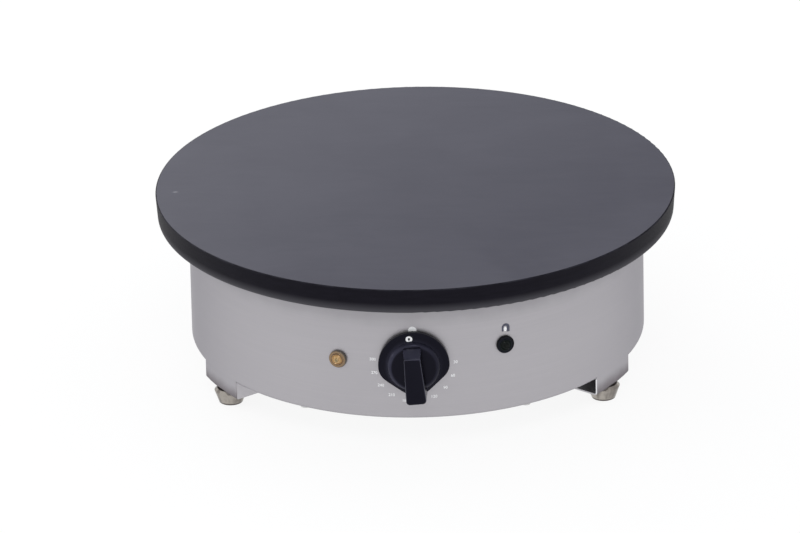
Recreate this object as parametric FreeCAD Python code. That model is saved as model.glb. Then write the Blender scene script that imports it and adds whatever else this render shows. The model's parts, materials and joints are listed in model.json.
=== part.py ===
import FreeCAD
import Part
import math
import os

# A round electric crepe maker: a cast-iron griddle plate on a rolled stainless drum with three folded legs.
# Millimetres. The origin is on the table under the plate's centre, Z is up and the front faces -Y.
# Azimuths are in degrees from the front, positive towards +X.

# Overall sizes
TOTAL_HEIGHT = 142.5
PLATE_RADIUS = 200.0
PLATE_OVERHANG = 25.0
DRUM_LIFT = 25.5
DRUM_TOP_GAP = 1.5

# Gaps: round a stud or pin in its hole, between seated curved faces, and between loosely stacked pieces
FIT_GAP = 0.05
SEAT_GAP = 0.1
STACK_GAP = 0.2
HOLE_GAP = 0.5

# Griddle plate
PLATE_EDGE = 20.2
PLATE_DRAFT = 1.5
PLATE_WEB = 12.0
PLATE_TOP_ROUND = 0.8
PLATE_LOW_ROUND = 3.5
RECESS_MARGIN = 5.0

# Sheet metal of the drum and its legs
SHEET = 1.2
BEND = 1.5
TOP_LIP = 12.0
BOTTOM_LIP = 12.0
LEG_AZIMUTHS = (60.0, 180.0, 300.0)
LEG_HALF_ANGLE = 8.0
LEG_DROP = 13.5
LEG_FLANGE = 36.0

# Feet
FOOT_INSET = 10.0
FOOT_TOP_RADIUS = 12.5
FOOT_TOP_BEVEL = 2.0
FOOT_BOTTOM_RADIUS = 9.0
FOOT_ROUND = 0.8
FOOT_SCREW_RADIUS = 3.0
FOOT_SCREW_HEAD_RADIUS = 5.0
FOOT_SCREW_HEAD = 3.0
FOOT_SCREW_RECESS = 5.0
FOOT_SCREW_SOCKET_FLATS = 4.0
FOOT_SCREW_END = 1.0
FOOT_NUT_FLATS = 10.0
FOOT_NUT = 5.0

# Studs, sleeves and brackets that hold the plate to the drum
STUD_INSET = 20.0
STUD_RADIUS = 4.0
STUD_IN_PLATE = 8.0
BOSS_RADIUS = 9.0
SLEEVE_RADIUS = 7.0
WASHER_RADIUS = 8.0
WASHER = 1.6
STUD_NUT_FLATS = 13.0
STUD_NUT = 6.5
STUD_END = 4.0
BRACKET_SHEET = 2.5
BRACKET_HALF_ANGLE = 7.0
BRACKET_REACH = 32.0
BRACKET_HEIGHT = 30.0
BRACKET_DROP = 5.5

# Ring heating elements, pressed up by the clamp plate
ELEMENT_RADIUS = 4.0
ELEMENT_COUNT = 3
ELEMENT_PITCH = 37.5
ELEMENT_CLEAR = 5.0
ELEMENT_BEND = 12.0
ELEMENT_ENDS_APART = 14.0
ELEMENT_AZIMUTH = 150.0
ELEMENT_TAIL = 14.0
PIN_RADIUS = 2.0
PIN_LENGTH = 12.0
BUSH_RADIUS = 6.0
BUSH_ABOVE = 3.5
BUSH_BELOW = 4.0
LINK_WIDTH = 8.0
LINK_SHEET = 1.5
LINK_END = 6.0
PIN_NUT_FLATS = 7.0
PIN_NUT = 3.2

# Clamp plate, its studs, the insulation and the heat shield
CLAMP_SHEET = 2.0
CLAMP_MARGIN = 4.0
CLAMP_STUD_AZIMUTHS = (0.0, 120.0, 240.0)
CLAMP_STUD_RADIUS = 3.0
CLAMP_BOSS_RADIUS = 7.0
CLAMP_NUT_FLATS = 10.0
CLAMP_NUT = 5.0
INSULATION = 18.0
INSULATION_POCKET = 8.0
TRAY_SHEET = 1.0
TRAY_WALL = 16.0

# Thermostat: bracket, body, shaft, bulb and capillary
KNOB_BELOW_MIDDLE = 1.8
BRACKET_PLANE = 15.0
STAT_BRACKET_SHEET = 1.5
STAT_BRACKET_HALF_WIDTH = 30.0
STAT_BRACKET_HALF_HEIGHT = 19.0
STAT_HALF_WIDTH = 22.0
STAT_HALF_HEIGHT = 16.5
STAT_DEPTH = 44.0
STAT_SCREWS_APART = 28.0
STAT_SCREW_RADIUS = 2.0
STAT_SCREW_HEAD_RADIUS = 3.6
STAT_SCREW_HEAD = 2.4
STAT_SCREW_DEPTH = 6.0
TAB_WIDTH = 6.3
TAB_SHEET = 0.8
TAB_LENGTH = 8.0
TAB_SPREAD = 12.0
TAB_RISE = 10.0
SHAFT_RADIUS = 3.0
SHAFT_IN_BODY = 10.0
SHAFT_FLAT = 1.2
SHAFT_FLAT_LENGTH = 12.0
BULB_RADIUS = 3.0
BULB_LENGTH = 80.0
CAPILLARY_RADIUS = 1.0
CAPILLARY_LEAD = 12.0
CAPILLARY_RISE = 14.0
SADDLE_LENGTH = 30.0
SADDLE_WIDTH = 8.0

# Control knob, measured outwards from the drum's face
KNOB_REST_TURN = 4.5
KNOB_RADIUS = 27.0
KNOB_BACK = 1.0
KNOB_SKIRT = 3.0
KNOB_SKIRT_RISE = 1.5
KNOB_RIM = 2.0
KNOB_SHOULDER_ANGLE = 16.0
KNOB_SHOULDER_ROUND = 14.0
KNOB_POINT_HALF_WIDTH = 8.0
KNOB_POINT_DROP = 22.5
KNOB_HUB_RADIUS = 20.0
KNOB_HUB = 5.0
KNOB_HUB_ROUND = 3.6
KNOB_GRIP_FRONT = 24.0
GRIP_TOP_BACK = 18.0
GRIP_TOP_FRONT = 13.5
GRIP_BOTTOM = 24.0
GRIP_TOP_HALF_WIDTH = 6.2
GRIP_BOTTOM_HALF_WIDTH = 7.8
GRIP_DRAFT = 0.6
GRIP_ROUND = 1.3
GRIP_END_ROUND = 3.0
KNOB_CAVITY_RADIUS = 17.0
KNOB_CAVITY = 4.5
KNOB_HUB_BOSS_RADIUS = 6.5
KNOB_BORE_DEPTH = 15.0
CLIP_SHEET = 0.5
CLIP_WIDTH = 4.0
CLIP_INSET = 1.0

# Pilot lamps
AMBER_AZIMUTH = -19.1
AMBER_RAISE = 0.6
GREEN_AZIMUTH = 23.1
GREEN_RAISE = 9.0
LAMP_BEZEL_RADIUS = 7.0
LAMP_BEZEL = 2.2
LAMP_BEZEL_ROUND = 0.8
LAMP_BODY_RADIUS = 5.8
LAMP_BODY = 24.0
LAMP_LENS_RADIUS = 4.9
LAMP_LENS_SEAT = 3.0
LAMP_LENS_RISE = 2.0
LAMP_NUT_RADIUS = 8.0
LAMP_NUT = 3.0

# Base cover
COVER_SHEET = 1.0
COVER_INSET = 4.0
COVER_NOTCH_GAP = 2.0
COVER_NOTCH_GAP_ANGLE = 1.0
COVER_SCREW_AZIMUTHS = (30.0, 90.0, 150.0, 210.0, 270.0, 330.0)
COVER_SCREW_INSET = 8.0
COVER_SCREW_RADIUS = 2.0
COVER_SCREW_HEAD_RADIUS = 3.8
COVER_SCREW_HEAD = 1.2
COVER_SCREW_LENGTH = 8.0
VENT_COUNT = 12
VENT_START = 40.0
VENT_CLEAR = 13.0
VENT_WIDTH = 5.0

# Cable gland, terminal block and earth stud
GLAND_AZIMUTH = 150.0
GLAND_RISE = 27.0
GLAND_THREAD_RADIUS = 10.0
GLAND_BORE_RADIUS = 5.5
GLAND_FLATS = 24.0
GLAND_FLANGE = 4.0
GLAND_INSIDE = 14.0
GLAND_NECK = 8.0
GLAND_NECK_RADIUS = 8.5
GLAND_CAP = 15.0
GLAND_CAP_WALL = 1.6
GLAND_LOCKNUT_FLATS = 26.0
GLAND_LOCKNUT = 5.0
GLAND_SEAL_GAP = 0.3
BLOCK_DISTANCE = 62.0
BLOCK_HALF_LENGTH = 24.0
BLOCK_HALF_WIDTH = 10.0
BLOCK_HEIGHT = 18.0
BLOCK_WAYS = 3
BLOCK_PITCH = 12.0
BLOCK_WIRE_RADIUS = 2.2
BLOCK_SCREW_RADIUS = 2.4
BLOCK_SCREW_RECESS = 3.0
BLOCK_FIX_RADIUS = 2.0
EARTH_AZIMUTH = 115.0
EARTH_RADIUS = 2.5
EARTH_HEIGHT = 18.0
EARTH_NUT_FLATS = 8.0
EARTH_NUT = 4.0

# Wires
WIRE_RADIUS = 1.5
LEAD_RADIUS = 1.0
WIRE_OFFSET = 1.6
WIRE_LEAD_OUT = 30.0
LEAD_OUT = 18.0
LEAD_EXTRA = 6.0
LEAD_CLEAR = 12.0
LEAD_SLANTS = (0.25, -0.5)

# Levels and radii worked out from the sizes above
DRUM_RADIUS = PLATE_RADIUS - PLATE_OVERHANG
DRUM_INSIDE = DRUM_RADIUS - SHEET
PLATE_TOP = TOTAL_HEIGHT
PLATE_EDGE_LOW = PLATE_TOP - PLATE_EDGE
PLATE_UNDER = PLATE_TOP - PLATE_WEB
DRUM_TOP = PLATE_EDGE_LOW - DRUM_TOP_GAP
LEG_LOW = DRUM_LIFT - LEG_DROP
LEG_FLANGE_TOP = LEG_LOW + SHEET
FOOT_CIRCLE = DRUM_RADIUS - FOOT_INSET
STUD_CIRCLE = DRUM_RADIUS - STUD_INSET
ELEMENT_Z = PLATE_UNDER - STACK_GAP - ELEMENT_RADIUS
CLAMP_TOP = ELEMENT_Z - ELEMENT_RADIUS - STACK_GAP
CLAMP_LOW = CLAMP_TOP - CLAMP_SHEET
TRAY_TOP = CLAMP_LOW - INSULATION
TRAY_LOW = TRAY_TOP - TRAY_SHEET
BRACKET_TOP = TRAY_LOW - BRACKET_DROP
BRACKET_LOW = BRACKET_TOP - BRACKET_SHEET
ELEMENT_OUTER = STUD_CIRCLE - BOSS_RADIUS - ELEMENT_CLEAR - ELEMENT_RADIUS
ELEMENT_CIRCLES = [ELEMENT_OUTER - ELEMENT_PITCH * n for n in range(ELEMENT_COUNT)]
ELEMENT_LOW = TRAY_LOW - ELEMENT_TAIL
CLAMP_RADIUS = ELEMENT_OUTER + ELEMENT_RADIUS + CLAMP_MARGIN
CLAMP_STUD_CIRCLE = ELEMENT_CIRCLES[-1] + ELEMENT_PITCH / 2
BULB_CIRCLE = ELEMENT_OUTER - ELEMENT_PITCH / 2
BULB_Z = PLATE_UNDER - STACK_GAP - BULB_RADIUS
KNOB_Z = (DRUM_LIFT + DRUM_TOP) / 2 - KNOB_BELOW_MIDDLE
LAMP_PLACES = ((AMBER_AZIMUTH, AMBER_RAISE), (GREEN_AZIMUTH, GREEN_RAISE))
STAT_FACE = -(DRUM_RADIUS - BRACKET_PLANE)
STAT_BACK = STAT_FACE + STAT_BRACKET_SHEET + STAT_DEPTH
STAT_TAB_END = STAT_BACK + TAB_LENGTH
COVER_TOP = DRUM_LIFT
COVER_LOW = COVER_TOP - COVER_SHEET
COVER_RADIUS = DRUM_RADIUS - COVER_INSET
COVER_SCREW_CIRCLE = DRUM_RADIUS - COVER_SCREW_INSET
GLAND_Z = DRUM_LIFT + GLAND_RISE
BLOCK_CIRCLE = DRUM_RADIUS - BLOCK_DISTANCE
BLOCK_TUNNEL_Z = COVER_TOP + BLOCK_HEIGHT / 2
VENT_END = BLOCK_CIRCLE - BLOCK_HALF_WIDTH - VENT_CLEAR
THROUGH = 5.0
UP = FreeCAD.Vector(0, 0, 1)


# Helpers
def point(x, y, z):
    return FreeCAD.Vector(x, y, z)


def unit(vector):
    return FreeCAD.Vector(vector).normalize()


def polar(radius, azimuth, z):
    """The point at this radius and azimuth."""
    angle = math.radians(azimuth)
    return point(radius * math.sin(angle), -radius * math.cos(angle), z)


def disc(radius, low, high, centre=None):
    """An upright cylinder from low to high about a centre, whose z is ignored."""
    middle = centre or point(0, 0, 0)
    return Part.makeCylinder(radius, high - low, point(middle.x, middle.y, low))


def ring(inner, outer, low, high, centre=None):
    return disc(outer, low, high, centre).cut(disc(inner, low, high, centre))


def box(x_range, y_range, z_range):
    corner = point(x_range[0], y_range[0], z_range[0])
    sides = [span[1] - span[0] for span in (x_range, y_range, z_range)]
    return Part.makeBox(sides[0], sides[1], sides[2], corner)


def turned(shape, azimuth):
    """A copy of something made at the front, moved round to an azimuth."""
    copy = shape.copy()
    copy.rotate(point(0, 0, 0), UP, azimuth)
    return copy


def outward(shape, z, radius=DRUM_RADIUS):
    """A copy of something made along +Z, laid to point out of the front at a height and radius."""
    copy = shape.copy()
    copy.rotate(point(0, 0, 0), point(1, 0, 0), 90)
    copy.translate(point(0, -radius, z))
    return copy


def fused(shapes):
    result = shapes[0]
    for shape in shapes[1:]:
        result = result.fuse(shape)
    return result.removeSplitter()


def group(shapes):
    return Part.makeCompound(shapes)


def circles_at(shape, height):
    """The round edges that lie flat at this height."""
    round_edges = [edge for edge in shape.Edges if isinstance(edge.Curve, Part.Circle)]
    return [edge for edge in round_edges if abs(edge.Curve.Center.z - height) < 1e-6]


def rounded(shape, radius, *heights):
    edges = [edge for height in heights for edge in circles_at(shape, height)]
    return shape.makeFillet(radius, edges)


def prism(outline, low, high):
    """A straight solid over a list of x, y points."""
    corners = [point(x, y, low) for x, y in outline]
    wire = Part.makePolygon(corners + corners[:1])
    return Part.Face(wire).extrude(point(0, 0, high - low))


def spun(outline):
    """A solid of revolution about the vertical, from radius and height pairs."""
    corners = [point(r, 0, z) for r, z in outline]
    return Part.Face(Part.makePolygon(corners + corners[:1])).revolve(point(0, 0, 0), UP, 360)


def hexagon(flats):
    radius = flats / math.sqrt(3)
    angles = [math.radians(60 * n) for n in range(6)]
    return [(radius * math.cos(angle), radius * math.sin(angle)) for angle in angles]


def nut(flats, bore, low, high, centre):
    """A hexagon nut about a centre."""
    body = prism(hexagon(flats), low, high)
    body.translate(point(centre.x, centre.y, 0))
    return body.cut(disc(bore, low, high, centre))


def wedge(azimuth, half_angle, low, high):
    """The part of space round an azimuth, between two upright planes through the axis."""
    reach = 2 * PLATE_RADIUS
    sides = [polar(reach, azimuth + side * half_angle, 0) for side in (-1, 1)]
    return prism([(0, 0)] + [(side.x, side.y) for side in sides], low, high)


def tube(route, radius):
    """A round tube along straight runs joined by tangent arcs as large as the runs allow."""
    share = 0.45
    edges = []
    start = route[0]
    for before, corner, after in zip(route, route[1:], route[2:]):
        back = before - corner
        ahead = after - corner
        reach = share * min(back.Length, ahead.Length)
        half_turn = (math.pi - back.getAngle(ahead)) / 2
        bend = reach / math.tan(half_turn)
        enter = corner + unit(back) * reach
        leave = corner + unit(ahead) * reach
        middle = corner + unit(unit(back) + unit(ahead)) * (bend / math.cos(half_turn) - bend)
        edges.append(Part.LineSegment(start, enter).toShape())
        edges.append(Part.Arc(enter, middle, leave).toShape())
        start = leave
    edges.append(Part.LineSegment(start, route[-1]).toShape())
    profile = Part.Wire(Part.Circle(route[0], route[1] - route[0], radius).toShape())
    return Part.Wire(edges).makePipeShell([profile], True, False)


# Griddle plate and what fixes it to the drum
def stud_places():
    return [polar(STUD_CIRCLE, azimuth, 0) for azimuth in LEG_AZIMUTHS]


def clamp_stud_places():
    return [polar(CLAMP_STUD_CIRCLE, azimuth, 0) for azimuth in CLAMP_STUD_AZIMUTHS]


def griddle_plate():
    recess = DRUM_RADIUS - RECESS_MARGIN
    low_edge = PLATE_RADIUS - PLATE_DRAFT
    outline = [(0, PLATE_TOP), (PLATE_RADIUS, PLATE_TOP), (low_edge, PLATE_EDGE_LOW),
               (recess, PLATE_EDGE_LOW), (recess, PLATE_UNDER), (0, PLATE_UNDER)]
    plate = spun(outline)
    plate = rounded(plate, PLATE_TOP_ROUND, PLATE_TOP)
    middle = (recess + low_edge) / 2
    outer_low = [edge for edge in circles_at(plate, PLATE_EDGE_LOW) if edge.Curve.Radius > middle]
    plate = plate.makeFillet(PLATE_LOW_ROUND, outer_low)
    bosses = [disc(BOSS_RADIUS, CLAMP_TOP, PLATE_UNDER, place) for place in stud_places()]
    bosses += [disc(CLAMP_BOSS_RADIUS, CLAMP_TOP, PLATE_UNDER, place) for place in clamp_stud_places()]
    plate = fused([plate] + bosses)
    for place in stud_places():
        plate = plate.cut(disc(STUD_RADIUS + FIT_GAP, CLAMP_TOP, PLATE_UNDER + STUD_IN_PLATE, place))
    for place in clamp_stud_places():
        plate = plate.cut(disc(CLAMP_STUD_RADIUS + FIT_GAP, CLAMP_TOP, PLATE_UNDER + STUD_IN_PLATE, place))
    return plate


def plate_studs():
    low = BRACKET_LOW - WASHER - STUD_NUT - STUD_END
    return group([disc(STUD_RADIUS, low, PLATE_UNDER + STUD_IN_PLATE, place) for place in stud_places()])


def plate_sleeves():
    bore = STUD_RADIUS + HOLE_GAP
    return group([ring(bore, SLEEVE_RADIUS, BRACKET_TOP, CLAMP_TOP, place) for place in stud_places()])


def plate_stud_washers():
    bore = STUD_RADIUS + FIT_GAP
    low = BRACKET_LOW - WASHER
    return group([ring(bore, WASHER_RADIUS, low, BRACKET_LOW, place) for place in stud_places()])


def plate_stud_nuts():
    high = BRACKET_LOW - WASHER
    bore = STUD_RADIUS + FIT_GAP
    return group([nut(STUD_NUT_FLATS, bore, high - STUD_NUT, high, place) for place in stud_places()])


def shell_brackets():
    """Angle brackets welded inside the drum, one over each leg."""
    wall = DRUM_INSIDE - SEAT_GAP
    upright = ring(wall - BRACKET_SHEET, wall, BRACKET_TOP - BRACKET_HEIGHT, BRACKET_TOP)
    shelf = ring(DRUM_RADIUS - BRACKET_REACH, wall, BRACKET_LOW, BRACKET_TOP)
    angle = upright.fuse(shelf)
    brackets = []
    for azimuth in LEG_AZIMUTHS:
        cutter = wedge(azimuth, BRACKET_HALF_ANGLE, BRACKET_TOP - BRACKET_HEIGHT, BRACKET_TOP)
        hole = disc(STUD_RADIUS + HOLE_GAP, BRACKET_LOW, BRACKET_TOP, polar(STUD_CIRCLE, azimuth, 0))
        brackets.append(angle.common(cutter).cut(hole))
    return group(brackets)


# Heating elements, clamp plate, insulation and heat shield
def element_angle(circle):
    """Half of the open angle between an element's two ends, in degrees."""
    return math.degrees((ELEMENT_ENDS_APART / 2 + ELEMENT_BEND) / circle)


def element_pins():
    """The places of the pins, as a list of pairs from the outer element to the inner one."""
    pairs = []
    for circle in ELEMENT_CIRCLES:
        opening = element_angle(circle)
        pair = []
        for side in (-1, 1):
            end = polar(circle, ELEMENT_AZIMUTH + side * opening, 0)
            away = polar(1, ELEMENT_AZIMUTH + side * opening - side * 90, 0)
            pair.append(end + away * ELEMENT_BEND)
        pairs.append(pair)
    return pairs


def heating_element(index):
    """A sheathed ring whose two ends turn down to their pins."""
    circle = ELEMENT_CIRCLES[index]
    opening = element_angle(circle)
    ends = [polar(circle, ELEMENT_AZIMUTH + side * opening, ELEMENT_Z) for side in (-1, 1)]
    far = polar(circle, ELEMENT_AZIMUTH + 180, ELEMENT_Z)
    slant = ELEMENT_BEND * math.sqrt(0.5)
    edges = []
    for end, place in zip(ends, element_pins()[index]):
        turned_down = point(place.x, place.y, ELEMENT_Z - ELEMENT_BEND)
        low = point(place.x, place.y, ELEMENT_LOW)
        away = unit(turned_down - point(end.x, end.y, turned_down.z))
        middle = end + away * slant - UP * (ELEMENT_BEND - slant)
        riser = Part.LineSegment(low, turned_down).toShape()
        edges.append([riser, Part.Arc(turned_down, middle, end).toShape()])
    path = edges[0] + [Part.Arc(ends[0], far, ends[1]).toShape()] + edges[1][::-1]
    places = element_pins()[index]
    start = point(places[0].x, places[0].y, ELEMENT_LOW)
    profile = Part.Wire(Part.Circle(start, UP, ELEMENT_RADIUS).toShape())
    sheath = Part.Wire(path).makePipeShell([profile], True, False)
    pins = [disc(PIN_RADIUS, ELEMENT_LOW - PIN_LENGTH, ELEMENT_LOW, place) for place in places]
    return fused([sheath] + pins)


def element_slots(low, high):
    """Clearance for the ends of the elements. The outermost slot is open at the rim."""
    slots = []
    half_length = ELEMENT_ENDS_APART / 2 + ELEMENT_BEND + ELEMENT_RADIUS
    half_width = BUSH_RADIUS + 2 * HOLE_GAP
    for circle in ELEMENT_CIRCLES:
        opening = math.radians(element_angle(circle))
        pins_at = circle * math.cos(opening) + ELEMENT_BEND * math.sin(opening)
        outer = max(circle + half_width, pins_at + BUSH_RADIUS + FIT_GAP)
        if circle == ELEMENT_OUTER:
            outer = CLAMP_RADIUS
        slot = box((-half_length, half_length), (-outer, -circle + half_width), (low, high))
        slots.append(turned(slot, ELEMENT_AZIMUTH))
    return slots


def capillary_drop():
    """The place where the capillary goes down through the heating pack."""
    azimuth = math.degrees((BULB_LENGTH / 2 + CAPILLARY_LEAD) / BULB_CIRCLE)
    return polar(BULB_CIRCLE, -azimuth, 0)


def element_clamp_plate():
    plate = disc(CLAMP_RADIUS, CLAMP_LOW, CLAMP_TOP)
    for slot in element_slots(CLAMP_LOW, CLAMP_TOP):
        plate = plate.cut(slot)
    for place in clamp_stud_places():
        plate = plate.cut(disc(CLAMP_STUD_RADIUS + HOLE_GAP, CLAMP_LOW, CLAMP_TOP, place))
    return plate.cut(disc(CAPILLARY_RADIUS + 2 * HOLE_GAP, CLAMP_LOW, CLAMP_TOP, capillary_drop()))


def clamp_studs():
    low = TRAY_LOW - CLAMP_NUT - STUD_END
    high = PLATE_UNDER + STUD_IN_PLATE
    return group([disc(CLAMP_STUD_RADIUS, low, high, place) for place in clamp_stud_places()])


def clamp_nuts():
    """A nut under the clamp plate and one under the heat shield, on each clamp stud."""
    bore = CLAMP_STUD_RADIUS + FIT_GAP
    nuts = []
    for place in clamp_stud_places():
        for high in (CLAMP_LOW, TRAY_LOW):
            nuts.append(nut(CLAMP_NUT_FLATS, bore, high - CLAMP_NUT, high, place))
    return group(nuts)


def insulation_disc():
    pad = disc(CLAMP_RADIUS - TRAY_SHEET - HOLE_GAP, TRAY_TOP, CLAMP_LOW)
    for slot in element_slots(TRAY_TOP, CLAMP_LOW):
        pad = pad.cut(slot)
    for place in clamp_stud_places():
        pad = pad.cut(disc(INSULATION_POCKET, TRAY_TOP, CLAMP_LOW, place))
    return pad.cut(disc(CAPILLARY_RADIUS + 2 * HOLE_GAP, TRAY_TOP, CLAMP_LOW, capillary_drop()))


def heat_shield_tray():
    inside = CLAMP_RADIUS - TRAY_SHEET
    tray = disc(CLAMP_RADIUS, TRAY_LOW, TRAY_TOP + TRAY_WALL).cut(disc(inside, TRAY_TOP, CLAMP_LOW))
    for place in clamp_stud_places():
        tray = tray.cut(disc(CLAMP_STUD_RADIUS + HOLE_GAP, TRAY_LOW, TRAY_TOP, place))
    for pair in element_pins():
        for place in pair:
            tray = tray.cut(disc(BUSH_RADIUS + FIT_GAP, TRAY_LOW, TRAY_TOP, place))
    return tray.cut(disc(CAPILLARY_RADIUS + 2 * HOLE_GAP, TRAY_LOW, TRAY_TOP, capillary_drop()))


def element_bushes():
    """Ceramic beads that carry the element ends through the heat shield."""
    bore = ELEMENT_RADIUS + SEAT_GAP
    places = [place for pair in element_pins() for place in pair]
    return group([ring(bore, BUSH_RADIUS, TRAY_LOW - BUSH_BELOW, TRAY_TOP + BUSH_ABOVE, p) for p in places])


def link_low():
    return ELEMENT_LOW - LINK_SHEET


def link_bars():
    """Two strips, each joining one end of all the elements."""
    bars = []
    for side in (0, 1):
        places = [pair[side] for pair in element_pins()]
        along = unit(places[0] - places[-1])
        across = point(-along.y, along.x, 0) * (LINK_WIDTH / 2)
        ends = [places[0] + along * LINK_END, places[-1] - along * LINK_END]
        corners = [ends[0] + across, ends[1] + across, ends[1] - across, ends[0] - across]
        bar = prism([(corner.x, corner.y) for corner in corners], link_low(), ELEMENT_LOW)
        for place in places:
            bar = bar.cut(disc(PIN_RADIUS + HOLE_GAP, link_low(), ELEMENT_LOW, place))
        bars.append(bar)
    return group(bars)


def pin_nuts():
    places = [place for pair in element_pins() for place in pair]
    bore = PIN_RADIUS + FIT_GAP
    return group([nut(PIN_NUT_FLATS, bore, link_low() - PIN_NUT, link_low(), place) for place in places])


# Drum shell with its legs
def drum_shell():
    outer = rounded(disc(DRUM_RADIUS, DRUM_LIFT, DRUM_TOP), SHEET + BEND, DRUM_LIFT, DRUM_TOP)
    inner_low = DRUM_LIFT + SHEET
    inner_high = DRUM_TOP - SHEET
    inner = rounded(disc(DRUM_INSIDE, inner_low, inner_high), BEND, inner_low, inner_high)
    shell = outer.cut(inner)
    shell = shell.cut(disc(DRUM_RADIUS - BOTTOM_LIP, DRUM_LIFT, inner_low))
    shell = shell.cut(disc(DRUM_RADIUS - TOP_LIP, inner_high, DRUM_TOP))
    for place in stud_places():
        shell = shell.cut(disc(BOSS_RADIUS + HOLE_GAP, inner_high, DRUM_TOP, place))
    for azimuth in LEG_AZIMUTHS:
        shell = shell.cut(wedge(azimuth, LEG_HALF_ANGLE, DRUM_LIFT, leg_top()))
    shell = fused([shell] + [leg(azimuth) for azimuth in LEG_AZIMUTHS])
    for azimuth in COVER_SCREW_AZIMUTHS:
        place = polar(COVER_SCREW_CIRCLE, azimuth, 0)
        shell = shell.cut(disc(COVER_SCREW_RADIUS + FIT_GAP, DRUM_LIFT, inner_low, place))
    shell = shell.cut(front_hole(SHAFT_RADIUS + 3 * HOLE_GAP, 0, KNOB_Z))
    for azimuth, rise in LAMP_PLACES:
        shell = shell.cut(front_hole(LAMP_BODY_RADIUS + SEAT_GAP, azimuth, KNOB_Z + rise))
    return shell.cut(front_hole(GLAND_THREAD_RADIUS + SEAT_GAP, GLAND_AZIMUTH, GLAND_Z))


def front_hole(radius, azimuth, z):
    """A cutter for a hole through the drum's wall."""
    cutter = outward(disc(radius, -2 * THROUGH, THROUGH), z)
    return turned(cutter, azimuth)


def leg_top():
    return DRUM_LIFT + 2 * (SHEET + BEND)


def leg(azimuth):
    """A tab of the drum's own sheet that runs down, turns in under it and is closed on one side."""
    inner_low = LEG_LOW + SHEET
    outer = rounded(disc(DRUM_RADIUS, LEG_LOW, leg_top()), SHEET + BEND, LEG_LOW)
    inner = rounded(disc(DRUM_INSIDE, inner_low, leg_top()), BEND, inner_low)
    sector = wedge(azimuth, LEG_HALF_ANGLE, LEG_LOW, leg_top())
    tab = outer.cut(inner).common(sector)
    tab = tab.cut(disc(DRUM_RADIUS - LEG_FLANGE, LEG_LOW, inner_low))
    tab = tab.cut(disc(FOOT_SCREW_RADIUS + SEAT_GAP, LEG_LOW, inner_low, polar(FOOT_CIRCLE, azimuth, 0)))
    side_span = (-DRUM_RADIUS, LEG_FLANGE - DRUM_RADIUS)
    side = turned(box((-SHEET, 0), side_span, (LEG_LOW, DRUM_LIFT + SHEET)), azimuth + LEG_HALF_ANGLE)
    return tab.fuse(side.common(outer))


# Feet
def foot(azimuth):
    outline = [(0, LEG_LOW), (FOOT_TOP_RADIUS - FOOT_TOP_BEVEL, LEG_LOW),
               (FOOT_TOP_RADIUS, LEG_LOW - FOOT_TOP_BEVEL), (FOOT_BOTTOM_RADIUS, 0), (0, 0)]
    body = rounded(spun(outline), FOOT_ROUND, 0)
    body = body.cut(disc(FOOT_SCREW_RADIUS + SEAT_GAP, 0, LEG_LOW))
    body = body.cut(disc(FOOT_SCREW_HEAD_RADIUS + HOLE_GAP, 0, FOOT_SCREW_RECESS))
    body.translate(polar(FOOT_CIRCLE, azimuth, 0))
    return body


def foot_screws():
    screws = []
    for azimuth in LEG_AZIMUTHS:
        place = polar(FOOT_CIRCLE, azimuth, 0)
        head_low = FOOT_SCREW_RECESS - FOOT_SCREW_HEAD
        head = disc(FOOT_SCREW_HEAD_RADIUS, head_low, FOOT_SCREW_RECESS, place)
        tip = LEG_FLANGE_TOP + FOOT_NUT + FOOT_SCREW_END
        shank = disc(FOOT_SCREW_RADIUS, FOOT_SCREW_RECESS, tip, place)
        socket = prism(hexagon(FOOT_SCREW_SOCKET_FLATS), head_low, FOOT_SCREW_RECESS)
        socket.translate(place)
        screws.append(fused([head, shank]).cut(socket))
    return group(screws)


def foot_nuts():
    bore = FOOT_SCREW_RADIUS + FIT_GAP
    low = LEG_FLANGE_TOP
    places = [polar(FOOT_CIRCLE, azimuth, 0) for azimuth in LEG_AZIMUTHS]
    return group([nut(FOOT_NUT_FLATS, bore, low, low + FOOT_NUT, place) for place in places])


# Base cover, screwed up under the drum's bottom lip
def base_cover():
    cover = disc(COVER_RADIUS, COVER_LOW, COVER_TOP)
    clear = DRUM_RADIUS - LEG_FLANGE - COVER_NOTCH_GAP
    for azimuth in LEG_AZIMUTHS:
        sector = wedge(azimuth, LEG_HALF_ANGLE + COVER_NOTCH_GAP_ANGLE, COVER_LOW, COVER_TOP)
        cover = cover.cut(sector.cut(disc(clear, COVER_LOW, COVER_TOP)))
    slot = box((-VENT_WIDTH / 2, VENT_WIDTH / 2), (-VENT_END, -VENT_START), (COVER_LOW, COVER_TOP))
    for n in range(VENT_COUNT):
        cover = cover.cut(turned(slot, 360 / VENT_COUNT * (n + 0.5)))
    for azimuth in COVER_SCREW_AZIMUTHS:
        place = polar(COVER_SCREW_CIRCLE, azimuth, 0)
        cover = cover.cut(disc(COVER_SCREW_RADIUS + FIT_GAP, COVER_LOW, COVER_TOP, place))
    for place in block_screw_places():
        cover = cover.cut(disc(BLOCK_FIX_RADIUS + FIT_GAP, COVER_LOW, COVER_TOP, place))
    return cover.cut(disc(EARTH_RADIUS + FIT_GAP, COVER_LOW, COVER_TOP, earth_place()))


def base_cover_screws():
    screws = []
    for azimuth in COVER_SCREW_AZIMUTHS:
        place = polar(COVER_SCREW_CIRCLE, azimuth, 0)
        head = disc(COVER_SCREW_HEAD_RADIUS, COVER_LOW - COVER_SCREW_HEAD, COVER_LOW, place)
        shank = disc(COVER_SCREW_RADIUS, COVER_LOW, COVER_LOW + COVER_SCREW_LENGTH, place)
        screws.append(fused([head, shank]))
    return group(screws)


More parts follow.
